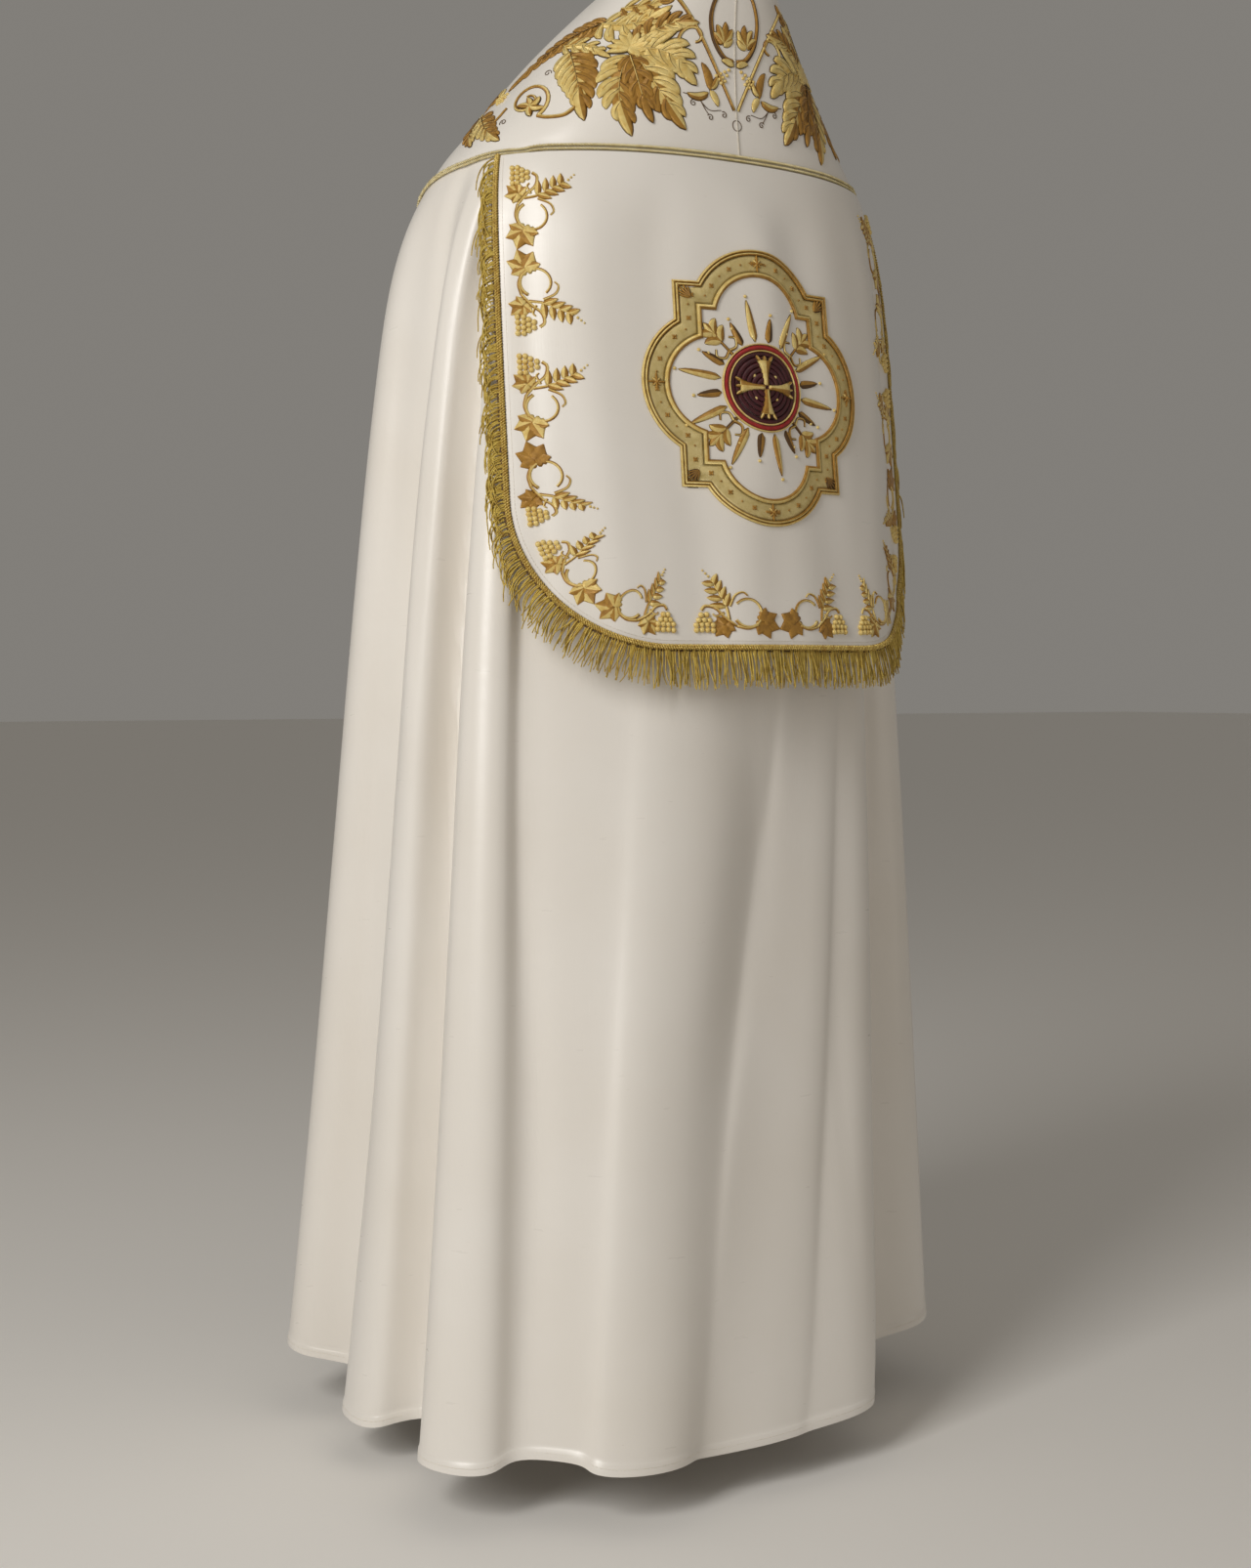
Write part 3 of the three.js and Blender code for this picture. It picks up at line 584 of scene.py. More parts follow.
# Sweeps a round profile along the lines, and lays thread coordinates in metres along and round it.
def addSweep(tree, line, profile, scale):
    along = addNode(tree, "GeometryNodeSplineParameter")
    marked = addNode(tree, "GeometryNodeStoreNamedAttribute", {
        "Geometry": line, "Name": "lengthAlong", "Value": along.outputs["Length"]}, data_type="FLOAT")
    shared = addNode(tree, "GeometryNodeStoreNamedAttribute", {
        "Geometry": marked.outputs[0], "Name": "fromRoot", "Value": along.outputs["Factor"]},
        data_type="FLOAT")
    solid = addNode(tree, "GeometryNodeCurveToMesh", {
        "Curve": shared.outputs[0], "Profile Curve": profile, "Scale": scale, "Fill Caps": True})
    length = addNode(tree, "GeometryNodeInputNamedAttribute", {"Name": "lengthAlong"}, data_type="FLOAT")
    root = addNode(tree, "GeometryNodeInputNamedAttribute", {"Name": "fromRoot"}, data_type="FLOAT")
    place = addNode(tree, "ShaderNodeCombineXYZ", {"X": length.outputs[0], "Y": root.outputs[0]})
    return addNode(tree, "GeometryNodeStoreNamedAttribute", {
        "Geometry": solid.outputs[0], "Name": "cut", "Value": place.outputs[0]},
        data_type="FLOAT2", domain="CORNER")


def endTree(tree, geometry, material):
    smooth = addNode(tree, "GeometryNodeSetShadeSmooth", {"Geometry": geometry, "Shade Smooth": True})
    real = addNode(tree, "GeometryNodeRealizeInstances", {"Geometry": smooth.outputs[0]})
    clothed = addNode(tree, "GeometryNodeSetMaterial", {"Geometry": real.outputs[0], "Material": material})
    addNode(tree, "NodeGroupOutput", {"Geometry": clothed.outputs[0]})


# Twisted cord: two plies side by side, turned round one another.
def makeCordTree():
    tree, given = startTree("twistedCord", {"Step": 0.0016, "Ply Radius": 0.0009, "Lay Length": 0.006,
                                            "Material": None})
    line = addNode(tree, "GeometryNodeMeshToCurve", {"Mesh": given["Geometry"]})
    even = addNode(tree, "GeometryNodeResampleCurve", {"Curve": line.outputs[0], "Length": given["Step"]},
                   mode="LENGTH")
    along = addNode(tree, "GeometryNodeSplineParameter")
    turns = addNode(tree, "ShaderNodeMath", {
        0: along.outputs["Length"], 1: given["Lay Length"]}, operation="DIVIDE")
    twist = addNode(tree, "ShaderNodeMath", {0: turns.outputs[0], 1: 2 * math.pi}, operation="MULTIPLY")
    tilted = addNode(tree, "GeometryNodeSetCurveTilt", {"Curve": even.outputs[0], "Tilt": twist.outputs[0]})
    ply = addNode(tree, "GeometryNodeCurvePrimitiveCircle", {"Resolution": 5, "Radius": given["Ply Radius"]})
    plies = addNode(tree, "GeometryNodeJoinGeometry")
    for side in (1, -1):
        away = addNode(tree, "ShaderNodeMath", {
            0: given["Ply Radius"], 1: 0.9 * side}, operation="MULTIPLY")
        place = addNode(tree, "ShaderNodeCombineXYZ", {"X": away.outputs[0]})
        moved = addNode(tree, "GeometryNodeTransform", {
            "Geometry": ply.outputs[0], "Translation": place.outputs[0]})
        tree.links.new(moved.outputs[0], plies.inputs[0])
    swept = addSweep(tree, tilted.outputs[0], plies.outputs[0], 1.0)
    endTree(tree, swept.outputs[0], given["Material"])
    return tree


# Strand: one thin thread, tapering to its tip.
def makeStrandTree():
    tree, given = startTree("looseStrand", {"Radius": 0.0006, "Tip Share": 0.6, "Material": None})
    line = addNode(tree, "GeometryNodeMeshToCurve", {"Mesh": given["Geometry"]})
    along = addNode(tree, "GeometryNodeSplineParameter")
    size = addNode(tree, "ShaderNodeMapRange", {"Value": along.outputs["Factor"], "To Min": 1.0,
                                                "To Max": given["Tip Share"]})
    ply = addNode(tree, "GeometryNodeCurvePrimitiveCircle", {"Resolution": 3, "Radius": given["Radius"]})
    swept = addSweep(tree, line.outputs[0], ply.outputs[0], size.outputs[0])
    endTree(tree, swept.outputs[0], given["Material"])
    return tree


cordTree = makeCordTree()
strandTree = makeStrandTree()


# Runs a tree on a carrier mesh and keeps the result as a plain mesh.
def growOn(name, mesh, tree, **sizes):
    carrier = bpy.data.objects.new(name + "_carrier", mesh)
    bpy.context.scene.collection.objects.link(carrier)
    modifier = carrier.modifiers.new("grow", "NODES")
    modifier.node_group = tree
    for item in tree.interface.items_tree:
        label = item.name.replace(" ", "")
        label = label[0].lower() + label[1:]
        if item.in_out == "INPUT" and label in sizes:
            modifier[item.identifier] = sizes[label]
    evaluated = carrier.evaluated_get(bpy.context.evaluated_depsgraph_get())
    made = bpy.data.meshes.new_from_object(evaluated)
    made.name = name
    bpy.data.objects.remove(carrier)
    piece = bpy.data.objects.new(name, made)
    bpy.context.scene.collection.objects.link(piece)
    return piece


# Lines are lists of points in millimetres. Equal ones may come as one array.
def growAlong(name, lines, tree, **sizes):
    counts = [len(line) for line in lines]
    points = np.concatenate(lines) * 0.001
    starts = np.cumsum([0] + counts[:-1])
    edges = np.concatenate([np.stack([np.arange(count - 1), np.arange(1, count)], -1) + start
                            for start, count in zip(starts, counts)])
    mesh = bpy.data.meshes.new(name + "_lines")
    mesh.from_pydata(points.tolist(), edges.tolist(), [])
    return growOn(name, mesh, tree, **sizes)


# Piping: two fine gilt cords laid side by side along the shoulder seam and down the fronts.
pipingLook = dict(plyRadius=0.95, layLength=5.6, step=1.7, insets=(-0.5, 3.3), stand=0.25)


def makePiping():
    look = pipingLook
    lines = []
    for inset in look["insets"]:
        halves = []
        for side in (-1, 1):
            inner, outer = orphreyStations(side)
            points, normals = onDrape(outer[:, 0], outer[:, 1])
            within = drape(*(outer + (inner - outer) * 0.1).T)
            inwards = within - points
            inwards /= np.linalg.norm(inwards, axis=-1, keepdims=True)
            halves.append(points + inwards * inset + normals * (1.9 * look["plyRadius"] + look["stand"]))
        lines.append(np.concatenate([halves[0][::-1], halves[1][1:]]))
    return growAlong("piping_cords", lines, cordTree, plyRadius=look["plyRadius"] / 1000,
                     layLength=look["layLength"] / 1000, step=look["step"] / 1000, material=paleCord)


# Edge of the shield at even steps: flat place, turn of the outward direction, and length walked.
def evenEdge(count):
    edge = shieldEdge(80, 120, 120)
    gone = walked(edge[:, :2], 0)
    wanted = np.linspace(0, gone[-1], count)
    return np.stack([np.interp(wanted, gone, edge[:, k]) for k in range(3)], -1), wanted


# Fringe: a braid along the shield's edge, loose gilt threads sewn under it, and under the braid a heading
# band in dark brown, which is painted shadow among the threads' roots.
fringeLook = dict(heading=6.0, gap=0.3, threads=1200, length=34.0, spread=0.2, radius=0.95, tipShare=0.62,
                  tuft=10.5, gather=0.5, curl=2.4, points=8, thinned=0.3, strayShare=0.09, strayBy=3.2,
                  swing=0.055, droop=0.74, fall=(0.5, 0.9), sewnAt=0.6, backing=1.4, braidRadius=1.2,
                  braidLay=5.0, braidStep=1.5, braidPlaces=(0.2, 0.5))


# The heading band under the braid: its dark brown, the outline thread's, is painted shadow where the threads'
# roots lie in shade.
def makeFringeHeadingShadow():
    look = fringeLook
    edge, gone = evenEdge(420)
    share = np.linspace(0, 1, 4)
    out = look["gap"] + look["heading"] * share
    across = edge[:, None, 0] + out * np.cos(edge[:, None, 2])
    drop = edge[:, None, 1] + out * np.sin(edge[:, None, 2])
    points, normals = onShield(across, np.maximum(drop, shieldLook["topGap"]))
    uv = np.stack(np.broadcast_arrays(gone[:, None], out), -1) * 0.001
    return wallPiece("fringe_backing", points, normals, uv, look["backing"], [goldOutline])


def makeFringeBraid():
    look = fringeLook
    edge, _ = evenEdge(500)
    lines = []
    for share in look["braidPlaces"]:
        out = look["gap"] + look["heading"] * share
        across = edge[:, 0] + out * np.cos(edge[:, 2])
        points, normals = onShield(across, edge[:, 1] + out * np.sin(edge[:, 2]))
        lines.append(points + normals * 0.9 * look["braidRadius"])
    return growAlong("fringe_braid", lines, cordTree, plyRadius=look["braidRadius"] / 1000,
                     layLength=look["braidLay"] / 1000, step=look["braidStep"] / 1000, material=fringeGold)


def makeFringeThreads():
    look = fringeLook
    count = look["threads"]
    chance = np.random.default_rng(31)
    edge, gone = evenEdge(count)
    tuft = np.round(gone / look["tuft"]) * look["tuft"] - gone
    alongX, alongY = -np.sin(edge[:, 2]), np.cos(edge[:, 2])
    f = np.linspace(0, 1, look["points"])[None, :]
    sideways = (np.cos(edge[:, 2]) ** 2)[:, None]
    length = (look["length"] * (1 + look["spread"] * chance.uniform(-1, 0.45, count)))[:, None]
    stray = np.where(chance.random(count) < look["strayShare"], look["strayBy"], 1.0)[:, None]
    swing = chance.normal(0, look["swing"], count)[:, None] * stray
    curl = look["curl"] * chance.normal(0, 0.6, count)[:, None] * stray
    phase = chance.uniform(0, 6.28, count)[:, None]
    droop = np.clip(chance.normal(look["droop"], 0.12, count), 0.4, 0.95)[:, None]
    out = look["gap"] + look["heading"] * look["sewnAt"] + length * f * (1 - droop * sideways * f)
    fall = length * chance.uniform(*look["fall"], count)[:, None] * sideways * f ** 1.6
    gathered = look["gather"] * tuft[:, None] * f ** 1.2
    slide = gathered + swing * length * f + curl * np.sin(phase + 4 * f) * f
    across = edge[:, 0:1] + out * np.cos(edge[:, 2:3]) + slide * alongX[:, None]
    drop = edge[:, 1:2] + out * np.sin(edge[:, 2:3]) + slide * alongY[:, None] + fall
    layer = chance.uniform(-1.6, 0.2, count)[:, None]
    lift = layer + f * (0.6 + chance.normal(0, 1.0, count)[:, None] * stray) + 0.8 * np.sin(math.pi * f)
    flat = np.stack([across.ravel(), drop.ravel()], -1)
    points, normals = onShield(flat[:, 0], flat[:, 1])
    points = (points + normals * lift.reshape(-1, 1)).reshape(count, look["points"], 3)
    kept = chance.random(count) > look["thinned"] * sideways[:, 0]
    return growAlong("fringe_threads", points[kept], strandTree, radius=look["radius"] / 1000,
                     tipShare=look["tipShare"], material=fringeThread)


piping = makePiping()
fringeHeadingShadow = makeFringeHeadingShadow()
fringeBraid = makeFringeBraid()
fringeThreads = makeFringeThreads()
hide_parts("piping")
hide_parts("fringe")
for piece, slotName in ((piping, "pale_cord"), (fringeHeadingShadow, "gold_thread"), (fringeBraid, "gold_thread"),
                        (fringeThreads, "gold_thread")):
    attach(piece, "root")
print("piping and fringe made")


# Embroidery is drawn flat on the shield or the yoke, in millimetres, and laid on the cloth by a chart that
# turns flat places into points and normals. Every stroke is a crowned closed band.
crown = dict(across=(-1.0, -0.64, -0.08, 0.08, 0.64, 1.0), height=(0.0, 0.8, 1.0, 1.0, 0.8, 0.0), sunk=0.3)


def newBag():
    return dict(flat=[], lift=[], faces=[], uv=[], looks=[], count=0)


# A crowned band between two outlines. Its halves may have two looks, and it may close on itself.
def putBand(bag, left, right, height, look=0, otherLook=None, base=0.0, closed=False, slant=0.6):
    rows, columns = len(left), len(crown["across"])
    share = (np.array(crown["across"]) + 1) / 2
    flat = left[:, None] + (right - left)[:, None] * share[None, :, None]
    shape = np.array(crown["height"])
    height = np.broadcast_to(np.asarray(height, float), (rows,))
    lift = np.where(shape > 0, base + height[:, None] * shape, base - crown["sunk"])
    middle = (left + right) / 2
    gone = walked(middle, 0)
    wide = np.linalg.norm(right - left, axis=-1)[:, None] * (share - 0.5)
    uv = np.stack([gone[:, None] + slant * np.abs(wide) + 7.3 * bag["count"] % 50, wide], -1)
    i = np.arange(rows if closed else rows - 1)[:, None]
    n = (i + 1) % rows
    j = np.arange(columns)[None, :]
    k = (j + 1) % columns
    near, far = i * columns, n * columns
    skin = np.stack(np.broadcast_arrays(near + j, near + k, far + k, far + j), -1)
    other = look if otherLook is None else otherLook
    looks = np.tile(np.where(np.arange(columns) < columns / 2, look, other), len(i))
    looks[columns - 1::columns] = look
    faces = skin.reshape(-1, 4)
    if not closed:
        first, last = np.arange(columns), (rows - 1) * columns + np.arange(columns)
        ends = np.array([first[[5, 2, 1, 0]], first[[5, 4, 3, 2]], last[[0, 1, 2, 5]], last[[2, 3, 4, 5]]])
        faces = np.concatenate([faces, ends])
        looks = np.concatenate([looks, np.full(4, look)])
    forward, across = np.diff(middle, axis=0), (right - left)[:-1]
    if (forward[:, 0] * across[:, 1] - forward[:, 1] * across[:, 0]).sum() < 0:
        faces = faces[:, ::-1]
    bag["flat"].append(flat.reshape(-1, 2))
    bag["lift"].append(lift.ravel())
    bag["uv"].append(uv.reshape(-1, 2))
    bag["faces"].append(faces + bag["count"])
    bag["looks"].append(looks)
    bag["count"] += rows * columns


# Adds a mirror image across the middle line.
def mirrorBag(bag):
    count = bag["count"]
    for name, turned in (("flat", [f * (-1, 1) for f in bag["flat"]]), ("lift", bag["lift"][:]),
                         ("uv", bag["uv"][:]), ("looks", bag["looks"][:]),
                         ("faces", [f[:, ::-1] + count for f in bag["faces"]])):
        bag[name] = bag[name] + turned
    bag["count"] = 2 * count


def layBag(bag, name, chart, materials):
    flat, lift, uv = (np.concatenate(bag[k]) for k in ("flat", "lift", "uv"))
    faces, looks = np.concatenate(bag["faces"]), np.concatenate(bag["looks"])
    points, normals = chart(flat[:, 0], flat[:, 1])
    laid = points + normals * lift[:, None]
    if facesInwards(laid, faces[:5], normals):
        faces = faces[:, ::-1]
    return makePiece(name, laid, faces, uv * 0.001, materials, looks)


# A smooth path through a few flat places.
def through(places, count):
    p = np.array(places, float)
    p = np.concatenate([2 * p[:1] - p[1:2], p, 2 * p[-1:] - p[-2:-1]])
    at = np.linspace(0, len(places) - 1 - 1e-9, count)
    k = at.astype(int)
    f = (at - k)[:, None]
    a, b, c, d = p[k], p[k + 1], p[k + 2], p[k + 3]
    squared, cubed = 2 * a - 5 * b + 4 * c - d, 3 * b - a - 3 * c + d
    return 0.5 * (2 * b + (c - a) * f + squared * f ** 2 + cubed * f ** 3)


# The direction at an angle in degrees, and the one a quarter turn further.
def pointing(angle):
    return np.array([math.cos(math.radians(angle)), math.sin(math.radians(angle))])


def leftOf(way):
    return np.array([-way[1], way[0]])


# The two outlines of a stroke that follows a path.
def sidesOf(path, width):
    along = np.gradient(path, axis=0)
    along /= np.linalg.norm(along, axis=-1, keepdims=True) + 1e-9
    away = np.stack([-along[:, 1], along[:, 0]], -1) * (np.asarray(width, float)[:, None] / 2)
    return path + away, path - away


# The looks of the threads, in the order of the materials given to every embroidered piece.
bright, antique, outline, pale, crimson, maroon = range(6)
threadLooks = [goldBright, goldAntique, goldOutline, paleInfill, crimsonSilk, maroonSilk]
stitchLook = dict(edge=1.4, edgeHeight=0.45, height=1.15)


# A stroke of satin stitch: a width at each share of its way, on a wider dark edge.
def putStroke(bag, path, width, look=bright, otherLook=None, height=None, edge=True, base=0.0):
    height = stitchLook["height"] if height is None else height
    width = np.broadcast_to(np.asarray(width, float), (len(path),))
    if edge:
        left, right = sidesOf(path, width + stitchLook["edge"])
        putBand(bag, left, right, stitchLook["edgeHeight"], outline, base=base)
    left, right = sidesOf(path, width)
    putBand(bag, left, right, height * np.clip(width / 2.2, 0.35, 1), look, otherLook, base=base + 0.25)


# A blade from its root to its tip, bent sideways by a share of its length.
def putBlade(bag, root, tip, bend, width, look=bright, otherLook=antique, count=9, edge=True, base=0.0,
             full=0.42, broadRoot=0.0):
    root, tip = np.array(root, float), np.array(tip, float)
    way = tip - root
    middle = root + way * 0.5 + leftOf(way) * bend
    f = np.linspace(0, 1, count)
    path = ((1 - f) ** 2)[:, None] * root + (2 * f * (1 - f))[:, None] * middle + (f ** 2)[:, None] * tip
    widest = math.log(0.5) / math.log(full)
    swell = np.sin(math.pi * (broadRoot + (1 - broadRoot) * f) ** widest) ** 0.6
    putStroke(bag, path, 0.35 + width * swell, look, otherLook, edge=edge, base=base)


# An acanthus leaf: overlapping broad lobes in pairs along a curved spine, then the tip. One half is light.
# Each lobe has a dark vein, and a bright rib lies over the spine. The splay is how far the lobes open, in
# degrees, at the root and at the tip.
leafLook = dict(splay=(46, 12), lobeWidth=0.42, lobeBend=0.3, lobeFull=0.58, lobeRoot=0.16, tipWidth=0.56,
                vein=(0.8, 0.8, 0.7, 0.6, 0.5, 0.4), veinHeight=2.6, veinBend=0.14, rib=(1.9, 0.6))


def putAcanthus(bag, spine, size, lobes=4, splay=leafLook["splay"], shades=(bright, antique), base=0.0):
    look = leafLook
    path = through(spine, 60)
    along = np.gradient(path, axis=0)
    turn = np.degrees(np.arctan2(along[:, 1], along[:, 0]))
    body = size * 0.9 * np.sin(math.pi * (0.16 + 0.7 * np.linspace(0, 1, 15)))
    putStroke(bag, path[:57:4], body, shades[1], shades[0], height=0.5, edge=False, base=base - 0.1)
    for k in range(lobes):
        share = 0.02 + 0.8 * k / (lobes - 0.5)
        reach = size * (0.95 + 0.55 * math.sin(math.pi * (share + 0.12) ** 0.8)) * (1 - 0.3 * share)
        lean = splay[0] + (splay[1] - splay[0]) * share
        level = base + 0.16 * (lobes - k) / lobes
        for side, shade in ((1, shades[0]), (-1, shades[1])):
            at = int((share + (0.05 if side < 0 else 0.0)) * 59)
            root, way = path[at], pointing(turn[at] + side * lean)
            putBlade(bag, root, root + reach * way, look["lobeBend"] * side, reach * look["lobeWidth"], shade,
                     shade, base=level, full=look["lobeFull"], broadRoot=look["lobeRoot"])
            beside = reach * look["veinBend"] * side * leftOf(way)
            vein = [root, root + reach * 0.38 * way + beside, root + reach * 0.7 * way + beside]
            putStroke(bag, through(vein, 6), look["vein"], outline, height=look["veinHeight"], edge=False,
                      base=level + 0.55)
    putBlade(bag, path[-18], path[-1] + 0.5 * size * pointing(turn[-8]), 0.06, size * look["tipWidth"],
             *shades, base=base + 0.3, broadRoot=0.1, full=0.5)
    f = np.linspace(0, 1, len(path[:50:2]))
    rib = look["rib"][0] + (look["rib"][1] - look["rib"][0]) * f
    putStroke(bag, path[:50:2], rib, bright, outline, height=1.5, edge=False, base=base + 0.6)


# A scroll: a stem that winds inwards to its eye.
def putScroll(bag, centre, radius, start, turns, width, look=bright, otherLook=antique, eye=0.22, edge=True):
    f = np.linspace(0, 1, max(14, int(26 * abs(turns))))
    angle = np.radians(start) + 2 * math.pi * turns * f
    reach = radius * (1 - (1 - eye) * f ** 0.85)
    path = np.array(centre, float) + np.stack([np.cos(angle), np.sin(angle)], -1) * reach[:, None]
    putStroke(bag, path, width[0] + (width[1] - width[0]) * f, look, otherLook, edge=edge)


# A stem through a few places, its width running from the first one given to the second.
def putStem(bag, places, width, look=bright, otherLook=antique, edge=True, count=18):
    f = np.linspace(0, 1, count)
    putStroke(bag, through(places, count), width[0] + (width[1] - width[0]) * f, look, otherLook, edge=edge)


# Beads and knots are spheres on points, drawn by Geometry Nodes from each point's own size.
def makeBeadTree():
    tree, given = startTree("paddedKnots", {"Radius": 0.001, "Material": None})
    ball = addNode(tree, "GeometryNodeMeshIcoSphere", {"Radius": given["Radius"], "Subdivisions": 2})
    shrunk = addNode(tree, "ShaderNodeVectorMath", {
        0: ball.outputs["UV Map"], "Scale": 0.012}, operation="SCALE")
    marked = addNode(tree, "GeometryNodeStoreNamedAttribute", {
        "Geometry": ball.outputs["Mesh"], "Name": "cut", "Value": shrunk.outputs[0]},
        data_type="FLOAT2", domain="CORNER")
    size = addNode(tree, "GeometryNodeInputNamedAttribute", {"Name": "knotSize"}, data_type="FLOAT")
    put = addNode(tree, "GeometryNodeInstanceOnPoints", {
        "Points": given["Geometry"], "Instance": marked.outputs[0], "Scale": size.outputs[0]})
    endTree(tree, put.outputs[0], given["Material"])
    return tree


beadTree = makeBeadTree()


# Knots are rows of flat across, down and radius, laid a share of their radius above the cloth.
def makeKnots(name, rows, chart, material, raised=0.25):
    rows = np.array(rows, float)
    points, normals = chart(rows[:, 0], rows[:, 1])
    points = points + normals * (rows[:, 2:3] * raised)
    mesh = bpy.data.meshes.new(name + "_points")
    mesh.from_pydata((points * 0.001).tolist(), [], [])
    sizes = mesh.attributes.new("knotSize", "FLOAT", "POINT")
    sizes.data.foreach_set("value", rows[:, 2].astype(np.float32))
    return growOn(name, mesh, beadTree, radius=0.001, material=material)


# Medallion: a frame in the outline of a rectangle with a round lobe on each side.
medallionLook = dict(drop=214, halfAcross=83, halfDown=95, lobe=70, reachAcross=115, reachDown=129, width=26,
                     rimWidth=5.6, innerRim=5.0, steps=22, base=0.9, marks=56, markReach=2.7, knot=0.95,
                     starReach=(8.2, 5.0), starKnot=1.7, leafInset=13, leafReach=10.5)


def medallionOutline(inset):
    look = medallionLook
    radius = look["lobe"] - inset
    side, top = look["reachAcross"] - look["lobe"], look["reachDown"] - look["lobe"]
    corner = (look["halfAcross"] - inset, look["halfDown"] - inset)
    sideTurn = np.linspace(0, math.acos((corner[0] - side) / radius), look["steps"])
    topTurn = np.linspace(math.acos((corner[1] - top) / radius), 0, look["steps"])
    quarter = np.concatenate([
        np.stack([side + radius * np.cos(sideTurn), radius * np.sin(sideTurn)], -1), [corner],
        np.stack([radius * np.sin(topTurn), top + radius * np.cos(topTurn)], -1)])
    back = quarter[::-1]
    quarters = (quarter, back * (-1, 1), quarter * (-1, -1), back * (1, -1))
    return np.concatenate([part[:-1] for part in quarters]) + (0, look["drop"])


# Two rims and the pale ground between them, with small crosses and knots by turns, a star on each lobe and
# a leaf in each corner.
def makeMedallion():
    look, bag, knots = medallionLook, newBag(), []
    rim, inner, base = look["rimWidth"], look["width"] - look["innerRim"], look["base"]
    for start, end, height, shades, level in (
            (-0.7, look["width"] + 0.7, 0.5, (outline, None), -0.2),
            (rim - 0.6, inner + 0.6, 0.35, (pale, None), 0.5),
            (0, rim * 0.5, 1.5, (bright, antique), base - 0.2),
            (rim * 0.5, rim, 1.5, (bright, antique), base - 0.2),
            (inner, look["width"], 1.5, (bright, antique), base - 0.2)):
        putBand(bag, medallionOutline(start), medallionOutline(end), height, *shades, base=level, closed=True)
    line = medallionOutline((rim + inner) / 2)
    gone = walked(line, 0)
    at = (np.arange(look["marks"]) + 0.5) / look["marks"] * gone[-1]
    middle = np.stack([np.interp(at, gone, line[:, k]) for k in range(2)], -1)
    for place in middle[::2]:
        for turn in range(4):
            tip = place + look["markReach"] * pointing(45 + 90 * turn)
            putBlade(bag, place, tip, 0.0, 1.4, antique, antique, count=5, edge=False, base=base)
    knots += [(*place, look["knot"]) for place in middle[1::2]]
    for across, down in ((0, -1), (0, 1), (-1, 0), (1, 0)):
        centre = np.array([across * look["reachAcross"], look["drop"] + down * look["reachDown"]])
        centre = centre - np.array([across, down]) * (rim + inner) / 2
        for turn in range(8):
            tip = centre + look["starReach"][turn % 2] * pointing(45 * turn)
            putBlade(bag, centre, tip, 0.0, 2.0, bright if turn % 2 else antique, antique, count=6,
                     edge=False, base=base + 0.2)
        knots.append((*centre, look["starKnot"]))
    for sideX, sideY in ((1, 1), (1, -1), (-1, 1), (-1, -1)):
        away = np.array([sideX, sideY])
        reach = np.array([look["halfAcross"], look["halfDown"]]) - look["leafInset"]
        corner = away * reach + (0, look["drop"])
        for turn in (0, 24, -24, 50, -50):
            way = pointing(math.degrees(math.atan2(sideY, sideX)) + turn)
            tip = corner + (look["leafReach"] - abs(turn) * 0.06) * way
            putBlade(bag, corner - 3 * away, tip, 0.0, 2.6, antique, outline, count=7, edge=False,
                     base=base + 0.1)
    return layBag(bag, "medallion_band", onShield, threadLooks), knots


# Emblem: a cross on a dark roundel with rays and sprigs, inside the medallion.
emblemLook = dict(roundel=34, dome=1.8, ring=40, armRoot=2, armReach=23, rayRoot=43, longRay=82, shortRay=66,
                  rays=20, rayWidth=7.6, sprigGap=12, sprigRoot=46, sprigTip=74)


# A domed disc of rings of thread laid one inside another.
def putDisc(bag, centre, radius, height, look, rings=7, base=0.3):
    centre = np.array(centre, float)
    turn = np.linspace(0, 2 * math.pi, 48, endpoint=False)
    circle = np.stack([np.cos(turn), np.sin(turn)], -1)
    for k in range(rings):
        outer, inner = radius * (1 - k / rings), radius * (1 - (k + 1) / rings) + 0.02
        rise = height * math.sin(math.pi / 2 * (k + 1) / rings)
        putBand(bag, centre + circle * outer, centre + circle * inner, 0.8, look, base=base + rise,
                closed=True)


